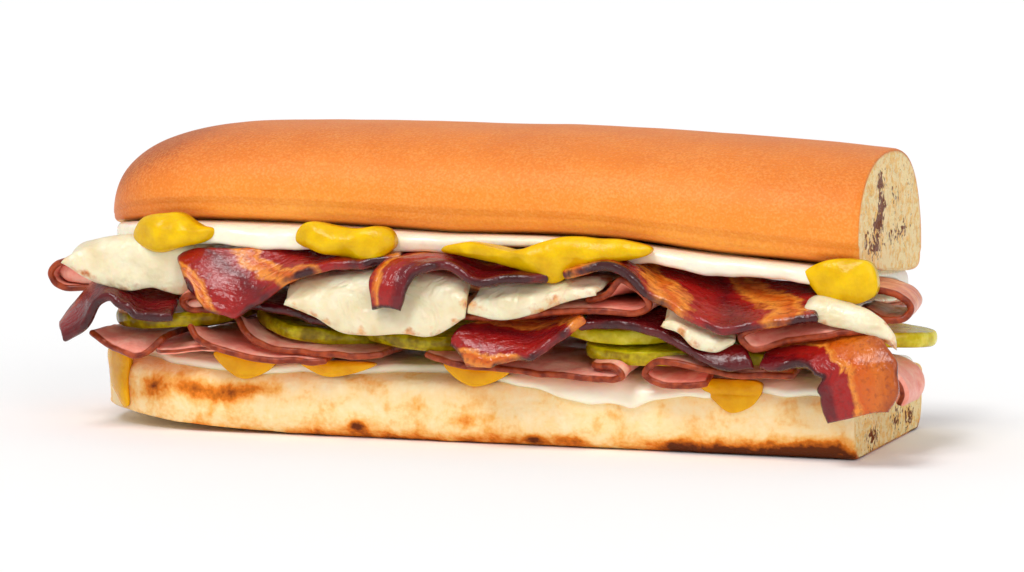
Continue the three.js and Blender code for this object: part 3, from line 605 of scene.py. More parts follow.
HAM_PINK = [paint(232, 124, 108), paint(246, 158, 138), paint(254, 192, 168)]
BROWNED_PINK = [paint(196, 90, 62), paint(218, 122, 86), paint(240, 164, 122)]
ham_finish = smoked_ham("smoked_ham", 0.9, HAM_PINK)
cut_ham_finish = smoked_ham("cut_ham", 0.12, HAM_PINK)
browned_ham_finish = smoked_ham("browned_ham", 1.3, BROWNED_PINK)
for name, slice_shape in LOWER_HAM.items():
    points, quads, values = slab(ham_slice(**slice_shape), 130, 64, HAM_THICKNESS)
    finish = cut_ham_finish if name == "ham_lower_2" else ham_finish
    add_piece(name, points, quads, NO_FANS, values, finish, "ham")
points, quads, values = slab(end_ham, 70, 60, HAM_THICKNESS * 1.8)
add_piece("ham_end_fold", points, quads, NO_FANS, values, cut_ham_finish, "ham")

# Pickles: round slices of pickled cucumber, olive skin round a wet yellow-green flesh.
# They are cut straight across and laid in two rows on the ham, tipping a little over its folds.
PICKLE_THICKNESS = 3.5
PICKLE_ROUND = 0.9
PICKLES = {
    "pickle_1": dict(centre=(-72, -17, 27.8), radius=18, tilt=(0.08, -0.06)),
    "pickle_2": dict(centre=(-33, -18, 26.2), radius=19, tilt=(0.08, 0.15)),
    "pickle_3": dict(centre=(-6, -20, 26), radius=18, tilt=(0.12, 0.07)),
    "pickle_4": dict(centre=(45, -20, 29.2), radius=18, tilt=(0.14, 0)),
    "pickle_5": dict(centre=(51, -28, 24.2), radius=16, tilt=(0.22, -0.02), depth=0.58),
    "pickle_6": dict(centre=(82, -22, 25), radius=14, tilt=(0.22, -0.02)),
    "pickle_7": dict(centre=(98, -1, 26.2), radius=13.5, tilt=(0, 0.06)),
    "pickle_8": dict(centre=(-64, 18, 27.4), radius=17, tilt=(-0.04, 0)),
    "pickle_9": dict(centre=(-26, 19, 26.4), radius=18, tilt=(-0.03, 0.02)),
    "pickle_10": dict(centre=(14, 19, 25.8), radius=18.5, tilt=(-0.03, 0.02)),
    "pickle_11": dict(centre=(56, 20, 25.8), radius=18.5, tilt=(-0.03, -0.02)),
}


def pickle_rings(centre, radius, tilt, depth=0.92, seed=0, around=120):
    """A slice: a profile from the middle of the underside, out to a rounded rim and back in over the top,
    carried round a slightly uneven circle, squeezed to depth across the roll and tipped about both axes.
    Returns the rings and, for each point, its share of the radius."""
    half = PICKLE_THICKNESS / 2
    turn = np.linspace(-math.pi / 2, math.pi / 2, 13)
    flat_part = np.linspace(0.04, 0.97, 12) * (radius - PICKLE_ROUND)
    out = np.concatenate([flat_part, radius - PICKLE_ROUND * (1 - np.cos(turn))])
    out = np.concatenate([out, out[11::-1]])
    high = np.concatenate([np.full(12, -half), half * np.sin(turn), np.full(12, half)])
    angle = np.arange(around) / around * 2 * math.pi
    uneven = 1 + 0.025 * np.sin(3 * angle + seed) + 0.012 * np.sin(7 * angle + 2 * seed)
    flat = np.stack([
        out[:, None] * np.cos(angle) * uneven,
        out[:, None] * np.sin(angle) * uneven * depth,
        np.broadcast_to(high[:, None], (len(out), around)),
    ], axis=-1)
    flat[..., 2] += 0.35 * lumps(flat + seed * 40, 6, 41) * (out / radius)[:, None]
    c, s = np.cos(tilt[0]), np.sin(tilt[0])
    about_x = np.array([[1, 0, 0], [0, c, -s], [0, s, c]])
    c, s = np.cos(tilt[1]), np.sin(tilt[1])
    about_y = np.array([[c, 0, s], [0, 1, 0], [-s, 0, c]])
    share = np.broadcast_to((out / radius)[:, None], flat.shape[:2])
    return flat @ (about_y @ about_x).T + np.array(centre), share


def pickle_flesh(name, skin_shades):
    """Pickle: wet yellow-green flesh, clouded, in a thin skin of three shades."""
    finish, tree, shader = new_finish(
        name, Roughness=0.13, Subsurface_Weight=0.3, Subsurface_Scale=0.004, Specular_IOR_Level=0.25,
    )
    cloud = sum_of(tree, grain(tree, 5.0, 3.0), grain(tree, 1.2, 3.0), 0.3)
    flesh = colour_by(tree, cloud, [
        (0.35, paint(138, 122, 0)), (0.6, paint(184, 168, 0)), (0.85, paint(226, 210, 24)),
    ])
    skin = colour_by(tree, cloud, list(zip((0.35, 0.6, 0.85), skin_shades)))
    at_skin = stretch_range(tree, measure(tree, "share"), 0.955, 0.985)
    tree.links.new(blend(tree, at_skin, flesh, skin), shader.inputs["Base Color"])
    relief(tree, shader, grain(tree, 2.4, 3.0), 0.35)
    return finish


olive_pickle = pickle_flesh("olive_pickle", [paint(88, 70, 0), paint(146, 122, 0), paint(212, 196, 20)])
# A lighter copy of the olive skin: painted light on the slices that stand in the light.
pale_pickle = pickle_flesh("pale_pickle", [paint(170, 150, 6), paint(206, 190, 22), paint(236, 224, 90)])
PALE_PICKLES = ("pickle_4", "pickle_6", "pickle_7")
for number, (name, slice_shape) in enumerate(PICKLES.items()):
    rings, share = pickle_rings(**slice_shape, seed=number)
    points = ring_points(np.concatenate([rings, share[..., None]], axis=-1))
    faces = ring_faces(*rings.shape[:2])
    finish = pale_pickle if name in PALE_PICKLES else olive_pickle
    add_piece(name, points[:, :3], *faces, {"share": points[:, 3]}, finish, "pickle")

# Ham in the upper half: more slices of the same smoked ham, rolled or folded so that their ends stand out.
# The roll at the round end and the loop at the cut end hang past the bun.
UPPER_HAM = {
    "ham_upper_1": dict(
        front=[
            (-72, 39.5), (-84, 40.6), (-96, 40.6), (-102.5, 39.4), (-105, 36),
            (-102, 32.8), (-96, 33), (-88, 34), (-76, 33.5),
        ],
        share=[0.62, 0.62], y=(-24, 24), sway=0.5, leaf_spread=2.6,
    ),
    "ham_upper_2": dict(
        front=[(-52, 33.2), (-58, 33.4), (-63, 33), (-65, 31.2), (-62.5, 29.4), (-57, 29.8), (-52, 30.4)],
        share=[0.54, 0.54], y=(-37, 37), sway=2.5,
    ),
    "ham_upper_3": dict(
        front=[
            (4, 30.4), (18, 30.8), (30, 32.4), (42, 33.2), (49, 33),
            (53.5, 35), (51.5, 38.8), (47, 41), (43, 37.2), (37, 35),
        ],
        share=[0.61, 0.66], y=(-40.5, 37), sway=4.5,
    ),
    "ham_upper_4": dict(
        front=[
            (84.5, 31.6), (82, 31.4), (79, 30.4), (75.8, 28.4),
            (78.5, 25.6), (84, 26.8), (89, 28.4), (97, 29.6), (106, 30),
        ],
        share=[0.61, 0.61], y=(-41, 36), sway=1.5, lean=-9,
    ),
    "ham_end_loop": dict(
        front=[
            (90, 38), (97, 38.8), (104, 39), (109.5, 37.6),
            (111.6, 35), (109.8, 32.6), (106, 32.3), (103, 33.2), (100, 34),
        ],
        share=[0.88, 0.88], y=(-27, -4), sway=3.5, loose=True, lean=-3,
    ),
}
FAR_FROM_RIM = 9.0
ROLL_FILL = {
    "ham_upper_1": dict(middle=(-96.5, 36.8), half=(7.4, 3.1), y=(-23.4, 10)),
    "ham_upper_2": dict(middle=(-59.5, 31.4), half=(4.4, 1.3), y=(-36.4, 0)),
}


def roll_fill(middle, half, y, rows=30, around=80):
    """The inner turns of a rolled slice: an oval about the middle in x and z, carried back along y from a
    rounded front end."""
    t = np.linspace(0, 1, rows)[:, None]
    angle = (np.arange(around) / around * 2 * math.pi)[None, :]
    size = np.clip(t * 5, 0.02, 1) ** 0.4
    deep = np.broadcast_to(y[0] + (y[1] - y[0]) * t ** 2, (rows, around))
    wide = middle[0] + half[0] * size * np.cos(angle)
    high = middle[1] + half[1] * size * np.sin(angle)
    rings = np.stack([wide, deep, high], axis=-1)
    return rings + 0.25 * lumps(rings, 3, 34)[..., None]


for name, slice_shape in UPPER_HAM.items():
    points, quads, values = slab(ham_slice(**slice_shape), 150, 64, HAM_THICKNESS)
    fans = NO_FANS
    if name in ROLL_FILL:
        rings = roll_fill(**ROLL_FILL[name])
        fill_quads, fill_fans = ring_faces(*rings.shape[:2])
        fill_points = ring_points(rings)
        quads = np.concatenate([quads, fill_quads[:, ::-1] + len(points)])
        fans = fill_fans[:, ::-1] + len(points)
        points = np.concatenate([points, fill_points])
        inner = np.full(len(fill_points), FAR_FROM_RIM)
        values = {key: np.concatenate([value, inner]) for key, value in values.items()}
    finish = browned_ham_finish if name == "ham_end_loop" else ham_finish
    add_piece(name, points, quads, fans, values, finish, "ham")

# Cheese: slices of mild white cheese laid across the filling and melted, so their edges hang in soft lobes.
# The heat has left toasted orange-brown flecks along the lower edges.
CHEESE_THICKNESS = 2.2
CHEESE_TAPER = 3.6
CHEESE = {
    "cheese_1": dict(
        x=(-95, -60), share=0.92, crest=[42.4, 45.4, 46.4, 46, 44], y=(-39, 31),
        front=[2, 8, 11, 12.4, 11.4, 12.4, 9], back=[2, 6, 5, 7, 3], pull=7,
    ),
    "cheese_2": dict(
        x=(-37, 9), share=0.77, crest=[34.4, 36.2, 38.2, 39.4, 39.4, 38.8, 37.2], y=(-41.6, 38),
        front=[2, 6, 11.6, 13.2, 12.6, 12, 6], back=[3, 6, 7, 5, 3],
    ),
    "cheese_3": dict(
        x=(10.5, 42), share=0.81, crest=[36.2, 36.8, 37.4, 38.8, 39.8], y=(-40.6, 38),
        front=[4, 6.2, 5.4, 3.4, 2.4], back=[3, 6, 7, 6, 3],
    ),
    "cheese_4": dict(
        x=(57, 73.5), share=0.79, crest=[33, 32.2, 30.6, 29.2, 28.8], y=(-42.6, 37),
        front=[2, 3, 4.6, 4.4, 2], back=[3, 5, 3, 5, 3],
    ),
    "cheese_5": dict(
        x=(90, 111), share=0.77, crest=[36.6, 37.4, 37.2, 36.4, 34.8], y=(-39.4, 34),
        front=[3.4, 5.2, 6, 7, 8], back=[3, 6, 4, 3], tuck=13,
    ),
}


def cheese_slice(x, share, crest, y, front, back, tuck=0.0, pull=0.0):
    """A slice carried along x: its profile comes up from the melted front edge, over the crest, flat
    through the stack and down at the back. The crest and the drops of both edges follow set values along
    its length. The far end along x tucks in with depth, and its front is pulled back."""

    def centre(u, v):
        at = x[0] + (x[1] - x[0]) * u[:, 0]
        top, drop, rear = (spline(values, u[:, 0]) for values in (crest, front, back))
        level = [stack_height(share, at, depth) for depth in (y[0] + 10, 0.0, y[1] - 8, y[1])]
        depths = [y[0], y[0] + 0.4, y[0] + 2.2, y[0] + 10, 0.0, y[1] - 8, y[1] - 2, y[1]]
        heights = [
            top - drop, top - 0.55 * drop, top - 1, (top + level[0]) / 2,
            level[1], level[2], level[3] - 1.6, level[3] - rear,
        ]
        heights = np.stack(heights)
        depths = np.broadcast_to(np.array(depths)[:, None], heights.shape)
        line = spline(np.stack([depths, heights], axis=-1), v[0])
        deep, high = line[..., 0].T + pull * u ** 3 * (1 - v), line[..., 1].T
        wide = at[:, None] - tuck * u * between(v, 0.1, 0.6) + 0.8 * np.sin(v * 7 + x[0])
        point = np.stack([wide, deep, high], axis=-1)
        soft = 0.9 * lumps(point, 9, 51) + 0.34 * lumps(point, 3.6, 52)
        return point + soft[..., None] * np.array([0.4, 0.8, 0.5])

    return centre


def melted_cheese():
    """Cheese: warm white, creased and slightly glassy, with toasted orange-brown flecks that thin out away
    from the melted front edge."""
    finish, tree, shader = new_finish(
        "melted_cheese", Roughness=0.3, Subsurface_Weight=0.4, Subsurface_Scale=0.004, Coat_Weight=0.15,
    )
    white = colour_by(tree, grain(tree, 6.0, 3.0), [(0.3, paint(226, 208, 166)), (0.7, paint(243, 231, 200))])
    near_edge = product(tree, stretch_range(tree, measure(tree, "rim"), 6.0, 0.0), grain(tree, 14.0, 2.0))
    fleck = sum_of(tree, near_edge, grain(tree, 3.0, 4.0), 1.0)
    toasted = stretch_range(tree, fleck, 0.96, 1.24)
    brown = colour_by(tree, grain(tree, 1.6, 3.0), [(0.35, paint(190, 104, 36)), (0.65, paint(234, 168, 92))])
    tree.links.new(blend(tree, toasted, white, brown), shader.inputs["Base Color"])
    relief(tree, shader, sum_of(tree, grain(tree, 2.6, 3.0), grain(tree, 8.0, 2.0, 1.2), 3.0), 0.4)
    return finish


cheese_finish = melted_cheese()
for name, slice_shape in CHEESE.items():
    points, quads, values = slab(cheese_slice(**slice_shape), 100, 110, CHEESE_THICKNESS, CHEESE_TAPER)
    add_piece(name, points, quads, NO_FANS, values, cheese_finish, "cheese")

# Bacon: streaky rashers fried until they ripple, burgundy lean banded with golden fat and dark crisp edges.
# They lie along the roll in two layers and curl out over the front and back edges.
BACON_THICKNESS = 2.3
BAND_WANDER = 0.9
BAND_FRAY = 0.3
BAND_SPECK = 0.1
SLANT_FRAY = 0.16
SLANT_START = 0.22
FRONT_BACON = {
    "bacon_upper_1": dict(
        near=[
            (-61, -42, 36), (-56, -43, 31), (-50, -43, 29.4), (-44, -43, 31.6),
            (-35, -42.5, 38), (-26, -41, 41.6), (-16, -40, 42.8), (-8, -39, 44),
        ],
        far=[
            (-67, -34, 42.5), (-59, -35, 45), (-50, -34, 45), (-42, -32, 45),
            (-33, -28, 44.6), (-25, -24, 43.4), (-17, -20, 43.6), (-11, -18, 43),
        ],
    ),
    "bacon_upper_2": dict(
        near=[
            (29, -40, 40.4), (20, -42, 40.2), (12.5, -42.5, 39.6), (7, -43, 41.8),
            (2, -43.5, 42.8), (-2, -44.5, 41), (-4, -45.4, 36.5), (-5, -45.4, 32.6),
        ],
        far=[
            (25, -19, 41), (15, -19, 42), (8, -20, 41.6), (3, -22, 43),
            (-4, -27, 43.8), (-11, -37, 43.2), (-13.5, -44, 38.5), (-12.5, -44.4, 32.2),
        ],
    ),
    "bacon_upper_3": dict(
        near=[
            (33, -41, 41.4), (39, -42, 43.2), (45, -42.5, 43.8), (50, -43, 41.4), (54.5, -43.5, 37),
            (61, -44, 34.6), (67, -44, 31.4), (74, -44, 30.2), (83, -43.5, 32), (94, -42, 33.4),
        ],
        far=[
            (27, -20, 40.6), (33, -20, 42.6), (39, -20, 43.4), (45, -20, 43.2), (51, -20, 43.2),
            (57, -20, 42.4), (63, -20, 41.2), (71, -20, 40), (80, -20, 39), (90, -21, 38.4),
        ],
    ),
    "bacon_lower_1": dict(
        near=[
            (-94, -40, 21.6), (-87.5, -42, 25), (-84.5, -42.5, 30.4), (-81, -42.5, 32.4),
            (-77, -42.5, 30), (-72, -42, 27.8), (-65, -41.5, 28.2),
        ],
        far=[
            (-98, -34, 24.4), (-95, -29, 30.6), (-90.5, -27, 35.6), (-86, -26, 36.4),
            (-82, -26, 35), (-77, -25, 33), (-69, -25, 32.4),
        ],
    ),
    "bacon_lower_2": dict(
        near=[(-50, -37, 31), (-43, -37.5, 31), (-34, -37.5, 29.4), (-26, -37.5, 27.8), (-17, -37, 28)],
        far=[(-53, -18, 32), (-45, -18, 32.4), (-37, -18, 31.8), (-28, -18, 30.8), (-19, -18, 30.4)],
    ),
    "bacon_lower_3": dict(
        near=[
            (10, -42.5, 19.8), (15, -43.5, 19.6), (20, -44, 20.8),
            (26.5, -43.5, 22.6), (33, -42, 27.2), (38, -40, 31.6),
        ],
        far=[
            (5.5, -41.5, 24), (6.5, -39.5, 27.6), (11, -34, 29),
            (18, -28, 29.4), (24, -22, 29.6), (28, -18, 29.8),
        ],
    ),
    "bacon_lower_4": dict(
        near=[
            (36, -39, 29.2), (45, -40, 30), (54, -40.5, 29.2), (60, -41.5, 26.4),
            (67, -42, 22.8), (73, -42, 20.8), (79, -41, 21.4),
        ],
        far=[
            (37, -20, 32.4), (43, -21, 32.6), (50, -23, 33), (57, -28, 31.6),
            (63, -34, 29.2), (69, -37, 26.8), (76, -37, 26),
        ],
    ),
    "bacon_lower_5": dict(
        near=[
            (80, -40.5, 22), (86, -42, 22.2), (92, -43.5, 22.2),
            (95.2, -44.6, 19.5), (95.6, -44.6, 15), (97.5, -44, 10.2),
        ],
        far=[
            (80, -25, 27.4), (88, -28, 28.6), (98, -33, 29.4), (107, -39, 29),
            (112.6, -43, 25), (113.5, -44, 18.4), (111.5, -43.6, 13.4),
        ],
    ),
}
BACK_BACON = {
    "bacon_back_1": dict(x=(-62, 6), y=(20, 41.5), share=0.93, hang=4, waves=1.8, phase=0.4),
    "bacon_back_2": dict(x=(10, 94), y=(20, 41.5), share=0.93, hang=4, waves=2, phase=2.6),
    "bacon_back_3": dict(x=(-48, 46), y=(13, 35), share=0.47, hang=1.6, waves=2.6, phase=1.2),
}


def back_edges(x, y, share, hang, waves, phase, points=8):
    """The two edge lines of a rasher on the far side: a gentle wave that leans out over the edge below
    it."""
    t = np.linspace(0, 1, points)
    at = x[0] + (x[1] - x[0]) * t
    swing = 0.5 + 0.5 * np.sin(t * waves * 2 * math.pi + phase)
    lines = [
        np.stack([at, reach + drop * 0.2 * swing, stack_height(share, at, reach) - drop * swing], axis=-1)
        for reach, drop in zip(y, (0.6, hang))
    ]
    return dict(near=lines[0], far=lines[1])


def rasher(near, far, seed):
    """A rasher stretched between two edge lines, swelling a little across its width, its edges nibbled
    uneven by the frying and its face rippled."""

    def centre(u, v):
        a, b = spline(near, u), spline(far, u)
        nibble = 0.05 * lumps(np.stack([u * 60, 7 * np.round(v), 0 * u], axis=-1), 5, seed)
        share = v + nibble * (1 - 4 * v * (1 - v))
        across = np.sin(v * math.pi)[..., None]
        point = a + (b - a) * share[..., None] + across * np.array([0, -0.8, 0.6])
        ripple = 0.5 * lumps(point, 6, seed + 1) + 0.22 * lumps(point, 2.4, seed + 2)
        return point + ripple[..., None] * np.array([0.2, 0.7, 0.7])

    return centre


def fibre(tree, long, wide, detail=3.0):
    """Noise drawn out along a rasher, in streaks this many millimetres long and wide, 0 to 1."""
    along = product(tree, measure(tree, "along"), 1 / long)
    across = product(tree, measure(tree, "across"), 1 / wide)
    drift = product(tree, grain(tree, 40.0), 3.0)
    place = node(tree, "CombineXYZ", {"X": along, "Y": across, "Z": drift}).outputs[0]
    return node(tree, "TexNoise", {"Vector": place, "Scale": 1.0, "Detail": detail}).outputs["Fac"]


def streaky_bacon(name, bands, repeat=None):
    """Bacon: bands of lean and fat that wander in fibres, laid out once across the rasher or, cut on the
    slant, every repeat millimetres along it. It is speckled, dark and crisp along the rim, and shines with
    fat."""
    finish, tree, shader = new_finish(
        name, Roughness=0.2, Specular_IOR_Level=0.4, Subsurface_Weight=0.05, Subsurface_Scale=0.001,
        Coat_Weight=0.18, Coat_Roughness=0.12,
    )
    place = measure(tree, "share")
    if repeat:
        place = sum_of(tree, product(tree, measure(tree, "along"), 1 / repeat), place, 0.7)
    fray = SLANT_FRAY if repeat else BAND_FRAY
    streak = sum_of(tree, place, grain(tree, 15.0, 3.0, 0.4), BAND_WANDER)
    streak = sum_of(tree, streak, fibre(tree, 16.0, 1.8), fray)
    streak = sum_of(tree, streak, grain(tree, 1.3, 3.0), BAND_SPECK)
    streak = sum_of(tree, streak, -1.0, SLANT_START if repeat else 0.5 * (BAND_WANDER + fray + BAND_SPECK))
    if repeat:
        streak = node(tree, "Math", {0: streak}, operation="FRACT").outputs[0]
    meat = colour_by(tree, streak, bands)
    speckle = stretch_range(tree, grain(tree, 1.2, 4.0), 0.5, 0.7)
    meat = blend(tree, product(tree, speckle, 0.4), meat, paint(104, 24, 16))
    crisp = stretch_range(tree, sum_of(tree, measure(tree, "rim"), grain(tree, 8.0, 4.0), 6.0), 3.9, 2.6)
    tree.links.new(blend(tree, crisp, meat, paint(60, 8, 12)), shader.inputs["Base Color"])
    relief(tree, shader, sum_of(tree, fibre(tree, 6.0, 1.8, 3.0), grain(tree, 1.7, 3.0), 0.7), 0.6)
    return finish


LEAN = paint(156, 20, 16)
DARK_LEAN = paint(104, 10, 18)
FAT = paint(202, 86, 10)
PALE_FAT = paint(228, 138, 46)
bacon_finishes = {
    "slant": streaky_bacon("bacon_slant", [
        (0.0, LEAN), (0.28, DARK_LEAN), (0.42, LEAN), (0.5, PALE_FAT),
        (0.66, FAT), (0.74, PALE_FAT), (0.82, LEAN), (1.0, LEAN),
    ], 26.0),
    "narrow": streaky_bacon("bacon_narrow", [
        (0.2, DARK_LEAN), (0.38, LEAN), (0.55, LEAN), (0.66, PALE_FAT),
        (0.74, FAT), (0.82, LEAN), (1.0, DARK_LEAN),
    ]),
    "dark": streaky_bacon("bacon_dark", [
        (0.2, paint(88, 8, 14)), (0.5, paint(120, 12, 18)), (0.76, paint(140, 22, 18)),
        (0.86, paint(160, 58, 18)), (1.0, DARK_LEAN),
    ]),
    "fat_edge": streaky_bacon("bacon_fat_edge", [
        (0.1, DARK_LEAN), (0.24, LEAN), (0.42, LEAN), (0.48, PALE_FAT),
        (0.58, FAT), (0.8, paint(206, 104, 20)), (1.0, paint(164, 70, 14)),
    ]),
}
BACON_CUT = {
    "bacon_upper_1": "slant", "bacon_upper_2": "narrow", "bacon_upper_3": "slant", "bacon_lower_1": "dark",
    "bacon_lower_2": "dark", "bacon_lower_3": "slant", "bacon_lower_4": "dark", "bacon_lower_5": "fat_edge",
    "bacon_back_1": "slant", "bacon_back_2": "narrow", "bacon_back_3": "fat_edge",
}
rashers = FRONT_BACON | {name: back_edges(**shape) for name, shape in BACK_BACON.items()}
for number, (name, edges) in enumerate(rashers.items()):
    points, quads, values = slab(rasher(**edges, seed=60 + 3 * number), 190, 56, BACON_THICKNESS)
    add_piece(name, points, quads, NO_FANS, values, bacon_finishes[BACON_CUT[name]], "bacon")

# Mustard under the upper bun: four fat dollops of yellow mustard squeezed along the front edge.
# They have slumped over the mayonnaise and rest on the bacon and cheese below.
UPPER_MUSTARD = {
    "mustard_upper_1": dict(
        outline=[
            (-77.5, 48), (-74, 52.4), (-67, 53), (-61, 50.6), (-57, 49.6),
            (-57.4, 47.2), (-62, 45.4), (-69, 43.8), (-75, 45),
        ],
        y=-36, bulge=4,
    ),
    "mustard_upper_2": dict(
        outline=[
            (-34.5, 47.8), (-31.5, 52), (-22, 51), (-12, 50.6),
            (-10, 46.4), (-16, 43), (-23, 43.8), (-29, 44.8),
        ],
        y=-37.5, bulge=3.6,
    ),
    "mustard_upper_3": dict(
        outline=[
            (2, 45.6), (4, 47.6), (10, 48.4), (21, 47), (32, 50), (45, 50), (52.4, 48.6),
            (52, 46.6), (43, 44.6), (35, 42), (29.5, 39.6), (24, 41.4), (15, 43.6), (7, 44.6),
        ],
        y=-37.5, bulge=3.2,
    ),
    "mustard_upper_4": dict(
        outline=[
            (88.5, 43.4), (94, 46.4), (102.6, 46.2), (105.4, 41.4), (103.4, 37.4), (97.5, 36.4), (92, 37.8),
        ],
        y=-33, bulge=2.8,
    ),
}
UPPER_MUSTARD_BACK = 3.0
dollop_finish = yellow_mustard("mustard_dollop", paint(212, 162, 0), paint(236, 192, 0))
for number, (name, dollop) in enumerate(UPPER_MUSTARD.items()):
    rings = blob_rings(
        dollop["outline"],
        lambda x, z, share: dollop["y"] - dollop["bulge"] * np.sqrt(1 - 0.96 * share ** 2),
        lambda x, z, share: dollop["y"] + UPPER_MUSTARD_BACK * (1 - 0.3 * share ** 4),
        around=120, rows=24,
    )
    flat = rings * (1, 0, 1)
    rings[..., 1] += 1.2 * lumps(flat, 7, 90 + number) + 0.35 * lumps(flat, 3, 95 + number)
    rings[..., 2] += 0.5 * lumps(flat, 5, 98 + number)
    add_piece(name, ring_points(rings), *ring_faces(*rings.shape[:2]), {}, dollop_finish, "mustard")

# Upper spread: a thick layer of the same mayonnaise under the upper bun, swelling out along both edges.
# The weight of the bun has pressed it into a soft uneven bead.
UPPER_MAYO_X = (-90.0, 97.0)
UPPER_MAYO_BEAD = [5, 9, 9.4, 7, 5.6, 6.2, 7.4, 7.6]
UPPER_MAYO_BULGE = 1.6
TOP_TIP_X = -94.8
CUT_PINCH = 3.5
PINCH_LENGTH = 26.0


def half_width(x):
    """Half the width of the upper bun: full along the body, rounded at the tip, squeezed in a little at the
    cut."""
    pinch = CUT_PINCH * np.clip((x - CUT_X + PINCH_LENGTH) / PINCH_LENGTH, 0, 1) ** 2
    return BUN_HALF_WIDTH * fullness(x, TOP_TIP_X) - pinch


def upper_mayo_rings(stations=230, around=120):
    """The spread as rings across the roll: a flat oval whose top follows the bun's split face, thin in the
    middle and thickened to a bead of set depth at its edges."""
    u = np.linspace(0, 1, stations)[:, None]
    x = UPPER_MAYO_X[0] + (UPPER_MAYO_X[1] - UPPER_MAYO_X[0]) * u
    angle = ((np.arange(around) + 0.5) / around * 2 * math.pi)[None, :]
    ends = np.sin(np.clip(np.minimum(u, 1 - u) * 12, 0, 1) * math.pi / 2)
    reach = np.maximum(4, half_width(x) + UPPER_MAYO_BULGE * ends - 0.6)
    share = signed_power(np.cos(angle), 0.5)
    y = BUN_CENTRE_Y + reach * share
    x = np.broadcast_to(x, y.shape)
    wave = np.stack([x, 0 * x, 0 * x], axis=-1)
    bead = spline(UPPER_MAYO_BEAD, u) + 1.3 * lumps(wave, 11, 101) + 0.5 * lumps(wave, 4, 104)
    depth = UPPER_MAYO_INNER + (bead - UPPER_MAYO_INNER) * np.abs(share) ** 4
    z = underside(x, y) + 0.3 - depth * (0.5 - 0.5 * signed_power(np.sin(angle), 0.6))
    rings = np.stack([x, y, z], axis=-1)
    rings[..., 1] += (1.3 * lumps(rings, 11, 102) + 0.5 * lumps(rings, 4, 103)) * np.sign(share)
    return rings


rings = upper_mayo_rings()
add_piece("mayo_upper", ring_points(rings), *ring_faces(*rings.shape[:2]), {}, mayo_finish, "mayo")

# Upper bun: the top half of the same roll, a smooth dome of glossy golden-brown crust.
# It sits on the fillings, paler along its lower edge, partly its own bake and partly painted light against
# the shade where the crust tucks in, darker towards the round end with painted shade, and with the crumb
# toasted in specks where it is cut.
CROWN_Z = [72.6, 73.4, 74, 73.8, 73.2, 71.9, 69.4]
TUCK = 5.0
DOME_ROUND = 0.84


def upper_bun_outline(x, angle):
    """A point round the upper bun: a dome above its widest line, tucked in a little below it to a flat
    split face that slants down to the back, all shrinking to a point at the tip."""
    full = fullness(x, TOP_TIP_X)
    rise = np.sin(angle)
    below = rise < 0
    side = signed_power(np.cos(angle), np.where(below, 0.4, DOME_ROUND))
    y = BUN_CENTRE_Y * full + np.maximum(half_width(x), 0.3) * np.where(below, 0.97, 1.0) * side
    widest = underside(x, y) + TUCK * full
    crown = widest + (spline(CROWN_Z, (x - TIP_X) / (CUT_X - TIP_X)) - widest) * full
    low = widest - TUCK * full * np.maximum(-rise, 0) ** 0.5
    high = widest + (crown - widest) * np.maximum(rise, 0) ** DOME_ROUND
    return np.stack([x, y, np.where(below, low, high)], axis=-1)


def golden_crust():
    """Golden crust: orange-brown, paler near the lower edge, partly its own bake and partly painted light
    against the shade of the tuck, darker towards the round end with painted shade, clouded and finely
    speckled, with a soft shine and tiny wrinkles, and open crumb over the cut face and the split."""
    finish, tree, shader = new_finish(
        "golden_crust", Roughness=0.42, Subsurface_Weight=0.1, Subsurface_Scale=0.002, Specular_IOR_Level=0.2,
    )
    height = sum_of(tree, measure(tree, "height"), grain(tree, 26.0, 3.0), 0.34)
    height = sum_of(tree, height, grain(tree, 0.9, 3.0), 0.22)
    # The pale first stop is partly painted light at the tucked lower edge; the dark last stops, reached at
    # the round end, are painted shade.
    crust = colour_by(tree, height, [
        (0.20, paint(255, 174, 66)), (0.36, paint(241, 144, 50)), (0.62, paint(235, 132, 46)),
        (0.84, paint(216, 114, 42)), (1.0, paint(180, 86, 32)),
    ])
    freckle = stretch_range(tree, sum_of(tree, grain(tree, 0.6, 3.0), grain(tree, 9.0, 3.0), 0.3), 0.56, 0.84)
    crust = blend(tree, product(tree, freckle, 0.24), crust, paint(255, 190, 112))
    crumb, pores = crumb_colour(tree, measure(tree, "char"))
    inside = measure(tree, "inside")
    tree.links.new(blend(tree, inside, crust, crumb), shader.inputs["Base Color"])
    fine = sum_of(tree, grain(tree, 0.7, 3.0), grain(tree, 3.5, 3.0), 0.7)
    relief(tree, shader, sum_of(tree, fine, product(tree, inside, pores), 2.0), 0.2)
    return finish


TOP_CHAR = [
    (-9, 63, 4.0, 3.0, 0.78), (-8, 57, 4.0, 3.2, 0.86), (-11, 52.5, 5.4, 2.6, 0.74),
    (-13, 47.6, 7.0, 2.4, 0.8),
    (4, 49, 7, 2.4, 0.5), (6, 58, 6, 4, 0.4), (15, 50, 6, 3, 0.5), (20, 60, 4, 3, 0.4), (-22, 50, 3, 2, 0.5),
]
rings, core = bun_rings(upper_bun_outline, TOP_TIP_X)
swell = 0.35 * lumps(rings, 22, 111) + 0.1 * lumps(rings, 7, 112)
rings = rings + ring_normals(rings) * (swell * (core < 0.01))[..., None]
pitted = (core > 0.05) * (0.4 * lumps(rings, 3.6, 113) + 0.22 * lumps(rings, 1.6, 114))
rings[..., 0] += pitted
x, y, z = np.moveaxis(rings, -1, 0)
base = underside(x, y)
